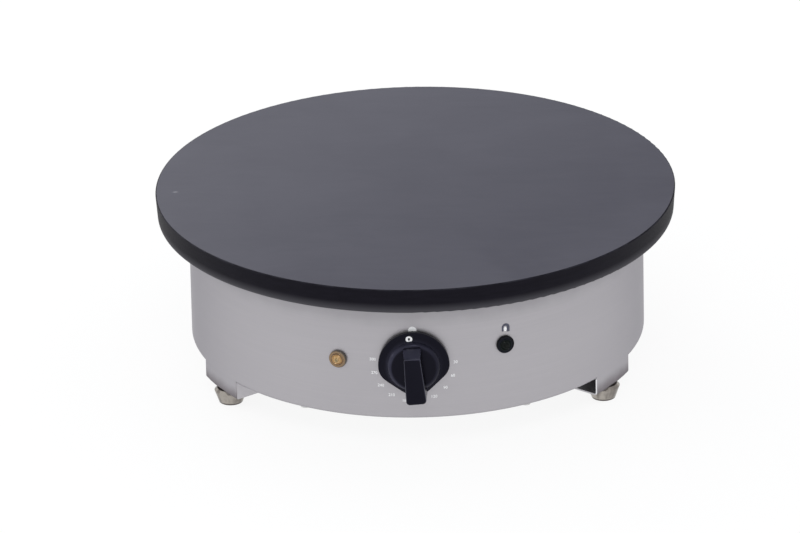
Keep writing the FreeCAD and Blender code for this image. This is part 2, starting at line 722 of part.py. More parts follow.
# Thermostat
def thermostat_bracket():
    """A flat-faced channel welded inside the curved wall, to carry the thermostat."""
    back = STAT_FACE + STAT_BRACKET_SHEET
    width = (-STAT_BRACKET_HALF_WIDTH, STAT_BRACKET_HALF_WIDTH)
    height = (KNOB_Z - STAT_BRACKET_HALF_HEIGHT, KNOB_Z + STAT_BRACKET_HALF_HEIGHT)
    face = box(width, (STAT_FACE, back), height)
    left = box((width[0], width[0] + STAT_BRACKET_SHEET), (-DRUM_RADIUS, back), height)
    right = box((width[1] - STAT_BRACKET_SHEET, width[1]), (-DRUM_RADIUS, back), height)
    channel = fused([face, left, right]).common(disc(DRUM_INSIDE - SEAT_GAP, height[0], height[1]))
    channel = channel.cut(outward(disc(SHAFT_RADIUS + HOLE_GAP, -BRACKET_PLANE - THROUGH, 0), KNOB_Z))
    for x in (-STAT_SCREWS_APART / 2, STAT_SCREWS_APART / 2):
        hole = outward(disc(STAT_SCREW_RADIUS + FIT_GAP, -BRACKET_PLANE - THROUGH, 0), KNOB_Z)
        hole.translate(point(x, 0, 0))
        channel = channel.cut(hole)
    return channel


def thermostat_body():
    front = STAT_FACE + STAT_BRACKET_SHEET
    width = (-STAT_HALF_WIDTH, STAT_HALF_WIDTH)
    height = (KNOB_Z - STAT_HALF_HEIGHT, KNOB_Z + STAT_HALF_HEIGHT)
    case = box(width, (front, STAT_BACK), height)
    case = case.cut(outward(disc(SHAFT_RADIUS + FIT_GAP, shaft_end() - HOLE_GAP, 0), KNOB_Z))
    tabs = []
    for side in (-1, 1):
        for level in (-1, 1):
            end = thermostat_tab(side, level)
            span = (end.x - TAB_WIDTH / 2, end.x + TAB_WIDTH / 2)
            tabs.append(box(span, (STAT_BACK, end.y), (end.z - TAB_SHEET / 2, end.z + TAB_SHEET / 2)))
    body = fused([case] + tabs)
    face = -BRACKET_PLANE - STAT_BRACKET_SHEET
    hole = disc(STAT_SCREW_RADIUS + FIT_GAP, face - STAT_SCREW_DEPTH - HOLE_GAP, face)
    for x in (-STAT_SCREWS_APART / 2, STAT_SCREWS_APART / 2):
        placed = outward(hole, KNOB_Z)
        placed.translate(point(x, 0, 0))
        body = body.cut(placed)
    return body


def thermostat_tab(side, level):
    """The middle of a tab's outer edge: side -1 is left, level 1 is the upper row."""
    return point(side * TAB_SPREAD, STAT_TAB_END, KNOB_Z + level * TAB_RISE)


def thermostat_screws():
    screws = []
    for x in (-STAT_SCREWS_APART / 2, STAT_SCREWS_APART / 2):
        head = disc(STAT_SCREW_HEAD_RADIUS, -BRACKET_PLANE, -BRACKET_PLANE + STAT_SCREW_HEAD)
        tip = -BRACKET_PLANE - STAT_BRACKET_SHEET - STAT_SCREW_DEPTH
        shank = disc(STAT_SCREW_RADIUS, tip, -BRACKET_PLANE)
        screw = outward(fused([head, shank]), KNOB_Z)
        screw.translate(point(x, 0, 0))
        screws.append(screw)
    return group(screws)


def shaft_end():
    """The shaft's inner end, measured outwards from the drum's face."""
    return -BRACKET_PLANE - STAT_BRACKET_SHEET - SHAFT_IN_BODY


def thermostat_shaft():
    """A round shaft with a flat at its outer end, in the knob's own turn."""
    shaft = disc(SHAFT_RADIUS, shaft_end(), KNOB_BORE_DEPTH)
    flat = box((-SHAFT_RADIUS, SHAFT_RADIUS), (SHAFT_RADIUS - SHAFT_FLAT, SHAFT_RADIUS),
               (KNOB_BORE_DEPTH - SHAFT_FLAT_LENGTH, KNOB_BORE_DEPTH))
    return outward(turned(shaft.cut(flat), KNOB_REST_TURN), KNOB_Z)


def sensor_bulb():
    """The thermostat's bulb under the plate, with its capillary down to the body."""
    half = BULB_LENGTH / 2
    bulb = Part.makeCylinder(BULB_RADIUS, BULB_LENGTH, point(-half, -BULB_CIRCLE, BULB_Z), point(1, 0, 0))
    drop = capillary_drop()
    low = TRAY_LOW - CAPILLARY_LEAD
    behind = STAT_BACK + CAPILLARY_LEAD
    entry = KNOB_Z + CAPILLARY_RISE
    route = [point(-half, -BULB_CIRCLE, BULB_Z), point(drop.x, drop.y, BULB_Z), point(drop.x, drop.y, low),
             point(drop.x / 2, behind, entry), point(0, behind, entry), point(0, STAT_BACK, entry)]
    return fused([bulb, tube(route, CAPILLARY_RADIUS)])


def bulb_saddle():
    """A spring strip on the clamp plate that presses the bulb up."""
    low = CLAMP_TOP
    high = BULB_Z - BULB_RADIUS - STACK_GAP
    half = SADDLE_LENGTH / 2
    span = (-BULB_CIRCLE - SADDLE_WIDTH / 2, -BULB_CIRCLE + SADDLE_WIDTH / 2)
    return box((-half, half), span, (low, high))


# Control knob
def knob_outline():
    """The skirt from the front: a round top, and two straight flanks that run in to the pointer."""
    shoulder = math.radians(KNOB_SHOULDER_ANGLE)
    right = point(KNOB_RADIUS * math.cos(shoulder), -KNOB_RADIUS * math.sin(shoulder), 0)
    left = point(-right.x, right.y, 0)
    top = point(0, KNOB_RADIUS, 0)
    low_left = point(-KNOB_POINT_HALF_WIDTH, -KNOB_POINT_DROP, 0)
    low_right = point(KNOB_POINT_HALF_WIDTH, -KNOB_POINT_DROP, 0)
    edges = [Part.Arc(right, top, left).toShape(), Part.LineSegment(left, low_left).toShape(),
             Part.LineSegment(low_left, low_right).toShape(), Part.LineSegment(low_right, right).toShape()]
    return Part.Wire(edges)


def knob_prism(low, high):
    """The skirt's outline as a solid between two levels, with its two shoulders rounded."""
    prism = Part.Face(knob_outline()).extrude(point(0, 0, high - low))
    prism.translate(point(0, 0, low))
    across = KNOB_RADIUS * math.cos(math.radians(KNOB_SHOULDER_ANGLE))
    shoulders = []
    for edge in prism.Edges:
        box = edge.BoundBox
        if box.ZLength > (high - low) / 2 and abs(abs(box.Center.x) - across) < FIT_GAP:
            shoulders.append(edge)
    return prism.makeFillet(KNOB_SHOULDER_ROUND, shoulders)


def grip():
    """The raised bar, wider at its pointing end and narrower towards its front."""
    back = KNOB_BACK + KNOB_SKIRT
    rings = []
    for w, top, draft in ((back, GRIP_TOP_BACK, GRIP_DRAFT), (KNOB_GRIP_FRONT, GRIP_TOP_FRONT, 0)):
        half_top = GRIP_TOP_HALF_WIDTH + draft
        half_low = GRIP_BOTTOM_HALF_WIDTH + draft
        low = -GRIP_BOTTOM - draft
        corners = [point(-half_top, top, w), point(half_top, top, w), point(half_low, low, w),
                   point(-half_low, low, w)]
        rings.append(Part.makePolygon(corners + corners[:1]))
    bar = Part.makeLoft(rings, True, True)
    corners = [edge for edge in bar.Edges if edge.BoundBox.ZLength > GRIP_BOTTOM / 2]
    bar = bar.makeFillet(GRIP_END_ROUND, [edge for edge in corners if edge.BoundBox.Center.y < 0])
    sharp = [edge for edge in bar.Edges if edge.BoundBox.ZMin > KNOB_GRIP_FRONT - FIT_GAP]
    for edge in bar.Edges:
        if edge.BoundBox.ZMax > KNOB_GRIP_FRONT - FIT_GAP and edge.BoundBox.YMin > 0:
            if edge.BoundBox.ZLength > GRIP_ROUND:
                sharp.append(edge)
    return bar.makeFillet(GRIP_ROUND, sharp)


def control_knob():
    rim = KNOB_BACK + KNOB_SKIRT
    skirt = knob_prism(KNOB_BACK, rim)
    hub = rounded(disc(KNOB_HUB_RADIUS, rim, rim + KNOB_HUB), KNOB_HUB_ROUND, rim + KNOB_HUB)
    cone = Part.makeCone(KNOB_RADIUS - KNOB_RIM, KNOB_HUB_RADIUS, KNOB_SKIRT_RISE, point(0, 0, rim))
    cone = cone.common(knob_prism(0, KNOB_GRIP_FRONT))
    knob = fused([skirt, cone, hub, grip()])
    cavity = ring(KNOB_HUB_BOSS_RADIUS, KNOB_CAVITY_RADIUS, KNOB_BACK, KNOB_BACK + KNOB_CAVITY)
    knob = knob.cut(cavity)
    bore = disc(SHAFT_RADIUS + FIT_GAP, KNOB_BACK, KNOB_BORE_DEPTH + HOLE_GAP)
    knob = knob.cut(bore)
    slot = clip_space(FIT_GAP)
    knob = knob.cut(slot)
    return outward(turned(knob, KNOB_REST_TURN), KNOB_Z)


def clip_space(gap):
    """The slot beside the shaft's flat where the spring clip sits."""
    width = (-CLIP_WIDTH / 2 - gap, CLIP_WIDTH / 2 + gap)
    seat = SHAFT_RADIUS - SHAFT_FLAT + FIT_GAP
    low = KNOB_BORE_DEPTH - SHAFT_FLAT_LENGTH + CLIP_INSET
    high = KNOB_BORE_DEPTH - CLIP_INSET
    return box(width, (seat - gap, seat + CLIP_SHEET + gap), (low - gap, high + gap))


def knob_spring_clip():
    return outward(turned(clip_space(0), KNOB_REST_TURN), KNOB_Z)


# Pilot lamps, each made at the front and moved round to its place
def placed_lamp(shape, azimuth, rise):
    return turned(outward(shape, KNOB_Z + rise), azimuth)


def lamp_bezel():
    """The flanged rim outside the drum."""
    rim = disc(LAMP_BEZEL_RADIUS, SEAT_GAP, LAMP_BEZEL)
    rim = rounded(rim, LAMP_BEZEL_ROUND, LAMP_BEZEL)
    return rim.cut(disc(LAMP_LENS_RADIUS + FIT_GAP, SEAT_GAP, LAMP_BEZEL))


def lamp_body():
    """The barrel behind the bezel, with two terminal tabs."""
    barrel = disc(LAMP_BODY_RADIUS, SEAT_GAP - LAMP_BODY, SEAT_GAP)
    barrel = barrel.cut(disc(LAMP_LENS_RADIUS + FIT_GAP, -LAMP_LENS_SEAT, SEAT_GAP))
    back = SEAT_GAP - LAMP_BODY
    tabs = []
    for x in lamp_tab_offsets():
        span = (x - TAB_SHEET / 2, x + TAB_SHEET / 2)
        tabs.append(box(span, (-TAB_WIDTH / 4, TAB_WIDTH / 4), (back - TAB_LENGTH, back)))
    return fused([barrel] + tabs)


def lamp_tab_offsets():
    return (-LAMP_LENS_RADIUS / 2, LAMP_LENS_RADIUS / 2)


def lamp_lens():
    """A domed lens seated in the barrel."""
    seat = disc(LAMP_LENS_RADIUS, -LAMP_LENS_SEAT, LAMP_BEZEL)
    radius = (LAMP_LENS_RADIUS ** 2 + LAMP_LENS_RISE ** 2) / (2 * LAMP_LENS_RISE)
    ball = Part.makeSphere(radius, point(0, 0, LAMP_BEZEL + LAMP_LENS_RISE - radius))
    dome = ball.common(disc(LAMP_LENS_RADIUS, LAMP_BEZEL, LAMP_BEZEL + LAMP_LENS_RISE))
    return fused([seat, dome])


def lamp_nut():
    """The ring that grips the barrel behind the drum's wall."""
    face = -SHEET - LAMP_NUT_RADIUS ** 2 / DRUM_INSIDE
    return ring(LAMP_BODY_RADIUS + FIT_GAP, LAMP_NUT_RADIUS, face - LAMP_NUT, face)


# Cable gland, made at the front and moved round to its place
def placed_gland(shape):
    return turned(outward(shape, GLAND_Z), GLAND_AZIMUTH)


def cable_gland_body():
    thread = disc(GLAND_THREAD_RADIUS, -GLAND_INSIDE, SEAT_GAP)
    flange = prism(hexagon(GLAND_FLATS), SEAT_GAP, GLAND_FLANGE)
    neck = disc(GLAND_NECK_RADIUS, GLAND_FLANGE, GLAND_FLANGE + GLAND_NECK)
    body = fused([thread, flange, neck])
    return placed_gland(body.cut(disc(GLAND_BORE_RADIUS, -GLAND_INSIDE, GLAND_FLANGE + GLAND_NECK)))


def cable_gland_locknut():
    face = -SHEET - GLAND_LOCKNUT_FLATS ** 2 / (6 * DRUM_INSIDE)
    body = prism(hexagon(GLAND_LOCKNUT_FLATS), face - GLAND_LOCKNUT, face)
    return placed_gland(body.cut(disc(GLAND_THREAD_RADIUS + FIT_GAP, face - GLAND_LOCKNUT, face)))


def cable_gland_cap():
    low = GLAND_FLANGE + SEAT_GAP
    high = low + GLAND_CAP
    body = prism(hexagon(GLAND_FLATS), low, high)
    wide = GLAND_FLATS / 2 + GLAND_CAP
    narrow = GLAND_FLATS / 2 - GLAND_CAP_WALL
    body = body.common(Part.makeCone(wide, narrow, GLAND_CAP, point(0, 0, low)))
    body = body.cut(disc(GLAND_NECK_RADIUS + FIT_GAP, low, high - GLAND_CAP_WALL))
    return placed_gland(body.cut(disc(GLAND_BORE_RADIUS + 2 * HOLE_GAP, low, high)))


def cable_gland_seal():
    high = GLAND_FLANGE + SEAT_GAP + GLAND_CAP - GLAND_CAP_WALL
    low = GLAND_FLANGE + GLAND_NECK + SEAT_GAP
    return placed_gland(ring(GLAND_BORE_RADIUS + GLAND_SEAL_GAP, GLAND_NECK_RADIUS, low, high))


# Terminal block and earth stud on the base cover
def block_screw_places():
    reach = BLOCK_HALF_LENGTH - BLOCK_FIX_RADIUS * 2
    places = []
    for x in (-reach, reach):
        place = turned(Part.Vertex(x, -BLOCK_CIRCLE, 0), GLAND_AZIMUTH).Point
        places.append(place)
    return places


def block_ways():
    return [BLOCK_PITCH * (n - (BLOCK_WAYS - 1) / 2) for n in range(BLOCK_WAYS)]


def terminal_block():
    width = (-BLOCK_CIRCLE - BLOCK_HALF_WIDTH, -BLOCK_CIRCLE + BLOCK_HALF_WIDTH)
    top = COVER_TOP + BLOCK_HEIGHT
    block = box((-BLOCK_HALF_LENGTH, BLOCK_HALF_LENGTH), width, (COVER_TOP, top))
    for x in block_ways():
        mouth = point(x, width[0], BLOCK_TUNNEL_Z)
        tunnel = Part.makeCylinder(BLOCK_WIRE_RADIUS, 2 * BLOCK_HALF_WIDTH, mouth, point(0, 1, 0))
        well = disc(BLOCK_SCREW_RADIUS, BLOCK_TUNNEL_Z, top, point(x, -BLOCK_CIRCLE, 0))
        block = block.cut(tunnel).cut(well)
    block = turned(block, GLAND_AZIMUTH)
    for place in block_screw_places():
        block = block.cut(disc(BLOCK_FIX_RADIUS + FIT_GAP, COVER_TOP, top, place))
    return block


def terminal_screws():
    """The brass clamping screws in the block's wells."""
    low = BLOCK_TUNNEL_Z + WIRE_RADIUS + SEAT_GAP
    high = COVER_TOP + BLOCK_HEIGHT - BLOCK_SCREW_RECESS
    screws = []
    for x in block_ways():
        screw = disc(BLOCK_SCREW_RADIUS - FIT_GAP, low, high, point(x, -BLOCK_CIRCLE, 0))
        screws.append(turned(screw, GLAND_AZIMUTH))
    return group(screws)


def terminal_block_screws():
    top = COVER_TOP + BLOCK_HEIGHT
    screws = []
    for place in block_screw_places():
        head = disc(2 * BLOCK_FIX_RADIUS, top, top + BLOCK_FIX_RADIUS, place)
        shank = disc(BLOCK_FIX_RADIUS, COVER_LOW, top, place)
        screws.append(fused([head, shank]))
    return group(screws)


def earth_place():
    return polar(BLOCK_CIRCLE, EARTH_AZIMUTH, 0)


def earth_stud():
    return disc(EARTH_RADIUS, COVER_LOW, COVER_LOW + EARTH_HEIGHT, earth_place())


def earth_nuts():
    """Two nuts, with the earth wire's end between them."""
    bore = EARTH_RADIUS + FIT_GAP
    upper = COVER_TOP + EARTH_NUT + 2 * WIRE_RADIUS + 2 * STACK_GAP
    lows = (COVER_TOP, upper)
    return group([nut(EARTH_NUT_FLATS, bore, low, low + EARTH_NUT, earth_place()) for low in lows])


# Wires, each leaving its two ends straight with one run between
def lead(start, out, end, away, reaches, radius):
    return tube([start, start + out * reaches[0], end + away * reaches[1], end], radius)


def block_way_centre(index):
    """The middle of a way's tunnel, under its screw."""
    local = Part.Vertex(block_ways()[index], -BLOCK_CIRCLE, BLOCK_TUNNEL_Z)
    return turned(local, GLAND_AZIMUTH).Point


def supply_wires():
    """From two ways of the block to the lower tabs of the thermostat."""
    inward = polar(-1, GLAND_AZIMUTH, 0)
    wires = []
    for way, side in ((2, -1), (1, 1)):
        end = thermostat_tab(side, -1) + point(side * WIRE_OFFSET, 0, 0)
        reaches = (WIRE_LEAD_OUT, WIRE_LEAD_OUT)
        wires.append(lead(block_way_centre(way), inward, end, point(0, 1, 0), reaches, WIRE_RADIUS))
    return group(wires)


def element_wires():
    """From the upper tabs of the thermostat to the inner ends of the link bars."""
    inward = polar(-1, ELEMENT_AZIMUTH, 0)
    wires = []
    for index, side in ((0, 1), (1, -1)):
        places = [pair[index] for pair in element_pins()]
        along = unit(places[-1] - places[0])
        slant = math.sin(along.getAngle(inward))
        start = places[-1] + along * (LINK_END + WIRE_RADIUS * slant)
        start.z = ELEMENT_LOW - LINK_SHEET / 2
        end = thermostat_tab(side, 1) + point(side * WIRE_OFFSET, 0, 0)
        reaches = (WIRE_LEAD_OUT, WIRE_LEAD_OUT)
        wires.append(lead(start, inward, end, point(0, 1, 0), reaches, WIRE_RADIUS))
    return group(wires)


def lamp_wires():
    """From the tabs of each lamp to one row of thermostat tabs, past the corner of the thermostat."""
    wires = []
    tab_end = DRUM_RADIUS + SEAT_GAP - LAMP_BODY - TAB_LENGTH
    for (azimuth, rise), level, slant in zip(LAMP_PLACES, (-1, 1), LEAD_SLANTS):
        inward = polar(-1, azimuth, 0)
        away = point(0, 1, slant)
        for x, side in zip(lamp_tab_offsets(), (-1, 1)):
            start = turned(Part.Vertex(x, -tab_end, KNOB_Z + rise), azimuth).Point
            end = thermostat_tab(side, level) + point(-side * WIRE_OFFSET, LEAD_RADIUS * abs(slant), 0)
            beside = abs((start + inward * LEAD_OUT).x) - STAT_HALF_WIDTH
            first = LEAD_OUT + max(0, LEAD_CLEAR - beside)
            reach = LEAD_OUT if side * azimuth > 0 else LEAD_OUT + LEAD_EXTRA
            wires.append(lead(start, inward, end, away, (first, reach), LEAD_RADIUS))
    return group(wires)


def earth_wire():
    """From the last way of the block to the earth stud, between its two nuts."""
    inward = polar(-1, GLAND_AZIMUTH, 0)
    away = polar(-1, EARTH_AZIMUTH, 0)
    end = earth_place() + away * (EARTH_RADIUS + SEAT_GAP)
    end.z = COVER_TOP + EARTH_NUT + STACK_GAP + WIRE_RADIUS
    return lead(block_way_centre(0), inward, end, away, (WIRE_LEAD_OUT, WIRE_LEAD_OUT), WIRE_RADIUS)


# Every node by name
def nodes():
    shapes = {
        "griddle_plate": griddle_plate(),
        "plate_studs": plate_studs(),
        "plate_sleeves": plate_sleeves(),
        "plate_stud_washers": plate_stud_washers(),
        "plate_stud_nuts": plate_stud_nuts(),
        "shell_brackets": shell_brackets(),
        "element_clamp_plate": element_clamp_plate(),
        "clamp_studs": clamp_studs(),
        "clamp_nuts": clamp_nuts(),
        "insulation_disc": insulation_disc(),
        "heat_shield_tray": heat_shield_tray(),
        "element_bushes": element_bushes(),
        "link_bars": link_bars(),
        "pin_nuts": pin_nuts(),
        "drum_shell": drum_shell(),
        "foot_screws": foot_screws(),
        "foot_nuts": foot_nuts(),
        "base_cover": base_cover(),
        "base_cover_screws": base_cover_screws(),
        "thermostat_bracket": thermostat_bracket(),
        "thermostat_body": thermostat_body(),
        "thermostat_screws": thermostat_screws(),
        "thermostat_shaft": thermostat_shaft(),
        "sensor_bulb": sensor_bulb(),
        "bulb_saddle": bulb_saddle(),
        "control_knob": control_knob(),
        "knob_spring_clip": knob_spring_clip(),
        "cable_gland_body": cable_gland_body(),
        "cable_gland_locknut": cable_gland_locknut(),
        "cable_gland_cap": cable_gland_cap(),
        "cable_gland_seal": cable_gland_seal(),
        "terminal_block": terminal_block(),
        "terminal_screws": terminal_screws(),
        "terminal_block_screws": terminal_block_screws(),
        "earth_stud": earth_stud(),
        "earth_nuts": earth_nuts(),
        "supply_wires": supply_wires(),
        "element_wires": element_wires(),
        "lamp_wires": lamp_wires(),
        "earth_wire": earth_wire(),
    }
    for index, name in enumerate(("outer", "middle", "inner")):
        shapes["heating_element_" + name] = heating_element(index)
    for azimuth, name in zip(LEG_AZIMUTHS, ("front_right", "rear", "front_left")):
        shapes["foot_" + name] = foot(azimuth)
    for name, (azimuth, rise) in zip(("amber", "green"), LAMP_PLACES):
        shapes[name + "_lamp_bezel"] = placed_lamp(lamp_bezel(), azimuth, rise)
        shapes[name + "_lamp_body"] = placed_lamp(lamp_body(), azimuth, rise)
        shapes[name + "_lamp_lens"] = placed_lamp(lamp_lens(), azimuth, rise)
        shapes[name + "_lamp_nut"] = placed_lamp(lamp_nut(), azimuth, rise)
    return shapes


def main():
    os.makedirs("parts", exist_ok=True)
    for name, shape in nodes().items():
        if not shape.isValid():
            raise ValueError("invalid shape: " + name)
        shape.exportStep(os.path.join("parts", name + ".step"))
        print(name, len(shape.Solids), "solid(s)", round(shape.Volume, 1), "mm3")


main()
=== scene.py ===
import json
import math

import bmesh
import bpy
from mathutils import Matrix, Quaternion, Vector

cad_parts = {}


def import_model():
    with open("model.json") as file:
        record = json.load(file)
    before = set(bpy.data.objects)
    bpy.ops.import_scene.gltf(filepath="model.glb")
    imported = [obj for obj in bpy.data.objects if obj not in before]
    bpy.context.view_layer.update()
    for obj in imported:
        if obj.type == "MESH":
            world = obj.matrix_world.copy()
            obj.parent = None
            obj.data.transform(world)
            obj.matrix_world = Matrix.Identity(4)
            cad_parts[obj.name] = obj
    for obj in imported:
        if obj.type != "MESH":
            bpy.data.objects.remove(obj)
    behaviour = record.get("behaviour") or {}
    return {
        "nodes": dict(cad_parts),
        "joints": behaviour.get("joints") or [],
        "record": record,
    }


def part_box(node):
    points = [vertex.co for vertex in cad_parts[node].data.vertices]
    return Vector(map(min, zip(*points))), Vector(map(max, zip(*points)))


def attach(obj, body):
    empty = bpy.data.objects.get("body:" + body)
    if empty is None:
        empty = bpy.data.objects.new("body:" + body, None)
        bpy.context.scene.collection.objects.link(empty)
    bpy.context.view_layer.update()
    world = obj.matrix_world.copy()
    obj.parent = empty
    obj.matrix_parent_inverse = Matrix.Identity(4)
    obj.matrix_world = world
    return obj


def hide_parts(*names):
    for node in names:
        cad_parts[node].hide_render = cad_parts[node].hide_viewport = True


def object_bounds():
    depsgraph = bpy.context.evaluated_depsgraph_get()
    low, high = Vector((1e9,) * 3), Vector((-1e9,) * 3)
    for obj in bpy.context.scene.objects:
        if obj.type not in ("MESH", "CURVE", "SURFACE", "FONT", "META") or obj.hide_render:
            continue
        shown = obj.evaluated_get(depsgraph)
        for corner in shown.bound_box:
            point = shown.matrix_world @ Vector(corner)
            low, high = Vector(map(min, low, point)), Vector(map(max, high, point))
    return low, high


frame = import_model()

CAD_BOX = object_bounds()
MM = 0.001


def place_on_drum(node):
    """Azimuth in degrees and height of a node's middle; azimuth 0 is the front and grows to the right."""
    low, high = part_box(node)
    middle = (low + high) / 2
    return math.degrees(math.atan2(middle.x, -middle.y)), middle.z


# Levels and places of the CAD model, in metres and degrees
DRUM_RADIUS = 175 * MM
DRUM_LOW = 25.5 * MM
DRUM_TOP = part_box("drum_shell")[1].z
LEG_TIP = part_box("drum_shell")[0].z
PLATE_GAP = 1.5 * MM
PLATE_LOW = DRUM_TOP + PLATE_GAP
PLATE_TOP = CAD_BOX[1].z
HUB_STANDS = 9 * MM
HUB_FRONT = DRUM_RADIUS + HUB_STANDS
KNOB_HEIGHT = frame["joints"][0]["pos_m"][2]
GRIP_FRONT = -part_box("control_knob")[0].y
AMBER_PLACE = place_on_drum("amber_lamp_bezel")
GREEN_PLACE = place_on_drum("green_lamp_bezel")

# Camera: a long lens, 23 degrees above the plate
IMAGE_WIDTH = 800
SENSOR = 36.0
FOCAL_PIXELS = 8741.94
CAMERA_DISTANCE = 6.7261
CAMERA_ELEVATION = 0.402900
CAMERA_AZIMUTH = math.radians(1.2)
CAMERA_ROLL = -0.0212
CAMERA_CLIP = 100.0
AIM_RIGHT = -11.65 * MM
AIM_UP = -62.3 * MM

# Spans that the noise textures cover: the usual one, and narrower ones that give more contrast in tone
NOISE_SPAN = (0.3, 0.7)
WIDE_TONE = (0.35, 0.65)
TONE = (0.36, 0.64)


class Tree:
    """A node material that is built up round one Principled shader."""

    def __init__(self, name, metallic=0.0, **sockets):
        self.material = bpy.data.materials.new(name)
        self.material.use_nodes = True
        self.nodes = self.material.node_tree.nodes
        self.links = self.material.node_tree.links
        self.shader = self.nodes["Principled BSDF"]
        self.place = self.nodes.new("ShaderNodeTexCoord").outputs["Object"]
        self.shader.inputs["Metallic"].default_value = metallic
        for socket, value in sockets.items():
            self.shader.inputs[socket.replace("_", " ")].default_value = value

    def put(self, socket, value):
        """Links a socket to another node's output, or sets it to a constant."""
        if isinstance(value, bpy.types.NodeSocket):
            self.links.new(value, socket)
        else:
            socket.default_value = value

    def mapped(self, scale=(1, 1, 1), shift=(0, 0, 0)):
        """The place on the model, scaled and then shifted."""
        node = self.nodes.new("ShaderNodeMapping")
        self.links.new(self.place, node.inputs["Vector"])
        node.inputs["Scale"].default_value = scale
        node.inputs["Location"].default_value = shift
        return node.outputs["Vector"]

    def noise(self, scale, stretch=(1, 1, 1), detail=3.0, rough=0.5, twist=0.0, shift=(0, 0, 0)):
        node = self.nodes.new("ShaderNodeTexNoise")
        self.links.new(self.mapped(stretch, shift), node.inputs["Vector"])
        node.inputs["Scale"].default_value = scale
        node.inputs["Detail"].default_value = detail
        node.inputs["Roughness"].default_value = rough
        node.inputs["Distortion"].default_value = twist
        return node.outputs["Fac"]

    def cells(self, scale, output="Color"):
        node = self.nodes.new("ShaderNodeTexVoronoi")
        self.links.new(self.mapped(), node.inputs["Vector"])
        node.inputs["Scale"].default_value = scale
        return node.outputs[output]

    def math(self, operation, first, second=0.0):
        node = self.nodes.new("ShaderNodeMath")
        node.operation = operation
        self.put(node.inputs[0], first)
        self.put(node.inputs[1], second)
        return node.outputs[0]

    def total(self, *shares):
        """The sum of several values, each times its share."""
        terms = [self.math("MULTIPLY", value, share) for value, share in shares]
        result = terms[0]
        for term in terms[1:]:
            result = self.math("ADD", result, term)
        return result

    def product(self, result, *others):
        """The product of several values."""
        for other in others:
            result = self.math("MULTIPLY", result, other)
        return result

    def vector(self, operation, first, second=None, output="Vector"):
        node = self.nodes.new("ShaderNodeVectorMath")
        node.operation = operation
        self.put(node.inputs[0], first)
        if second is not None:
            self.put(node.inputs[1], second)
        return node.outputs[output]

    def length(self, vector):
        return self.vector("LENGTH", vector, output="Value")

    def part(self, axis, vector=None):
        """One coordinate of a vector, or of the place on the model."""
        node = self.nodes.new("ShaderNodeSeparateXYZ")
        self.links.new(vector or self.place, node.inputs[0])
        return node.outputs[axis]

    def between(self, value, low, high, out_low=0.0, out_high=1.0, smooth=False):
        """Maps low to high onto out_low to out_high, and holds the ends outside."""
        node = self.nodes.new("ShaderNodeMapRange")
        node.interpolation_type = "SMOOTHSTEP" if smooth else "LINEAR"
        self.put(node.inputs["Value"], value)
        node.inputs["From Min"].default_value = low
        node.inputs["From Max"].default_value = high
        node.inputs["To Min"].default_value = out_low
        node.inputs["To Max"].default_value = out_high
        return node.outputs["Result"]

    def vary(self, value, low, high):
        """Spreads a noise over a range."""
        return self.between(value, *NOISE_SPAN, low, high)

    def mix(self, factor, first, second):
        node = self.nodes.new("ShaderNodeMix")
        node.data_type = "RGBA"
        self.put(node.inputs[0], factor)
        for socket, colour in ((node.inputs[6], first), (node.inputs[7], second)):
            self.put(socket, colour if isinstance(colour, bpy.types.NodeSocket) else (*colour, 1))
        return node.outputs[2]

    def ramp(self, factor, *stops):
        node = self.nodes.new("ShaderNodeValToRGB")
        self.links.new(factor, node.inputs[0])
        elements = node.color_ramp.elements
        elements[0].position = stops[0][0]
        elements[1].position = stops[-1][0]
        for position, colour in stops[1:-1]:
            elements.new(position)
        for element, (position, colour) in zip(elements, stops):
            element.color = (*colour, 1)
        return node.outputs[0]

    def finish(self, colour, roughness, height, depth, strength=1.0):
        """Links colour and roughness, and makes the relief from a height and its depth in metres."""
        self.put(self.shader.inputs["Base Color"], colour)
        self.put(self.shader.inputs["Roughness"], roughness)
        bump = self.nodes.new("ShaderNodeBump")
        bump.inputs["Distance"].default_value = depth
        bump.inputs["Strength"].default_value = strength
        self.links.new(height, bump.inputs["Height"])
        self.links.new(bump.outputs["Normal"], self.shader.inputs["Normal"])
        return self.material


def grained(name, dark, light, roughness, grain=1500.0, patches=20.0, depth=0.01 * MM, metallic=0.0):
    """Two tones that vary with a fine grain and with broad patches, as do the roughness and the relief."""
    tree = Tree(name, metallic)
    fine = tree.noise(grain, detail=4.0, rough=0.6)
    broad = tree.noise(patches, detail=3.0, twist=0.3)
    both = tree.total((fine, 0.5), (broad, 0.5))
    colour = tree.mix(tree.between(both, *TONE), dark, light)
    return tree.finish(colour, tree.vary(both, *roughness), fine, depth)


# The plate's ground top: its tones, and its one pale scuff, with the radii where that is full and where it
# ends. The tone goes partly with the diagonal across the plate as painted light, darker at its front right
# and lighter at its back left
GROUND_DARK = (0.004, 0.004, 0.026)
GROUND_LIGHT = (0.048, 0.048, 0.073)
SCUFF_COLOUR = (0.17, 0.17, 0.20)
SCUFF_STRETCH = (1, 1.7, 1)
SCUFF_SHIFT = (0.1843, 0.0122, -PLATE_TOP)
SCUFF_RADII = (3.4 * MM, 6.0 * MM)
SCUFF_FRAY = 5 * MM
SCUFF_STRENGTH = 0.75
PAINTED_LIGHT_DIAGONAL = (-0.16, 0.24)
PAINTED_LIGHT_SHARE = 0.58


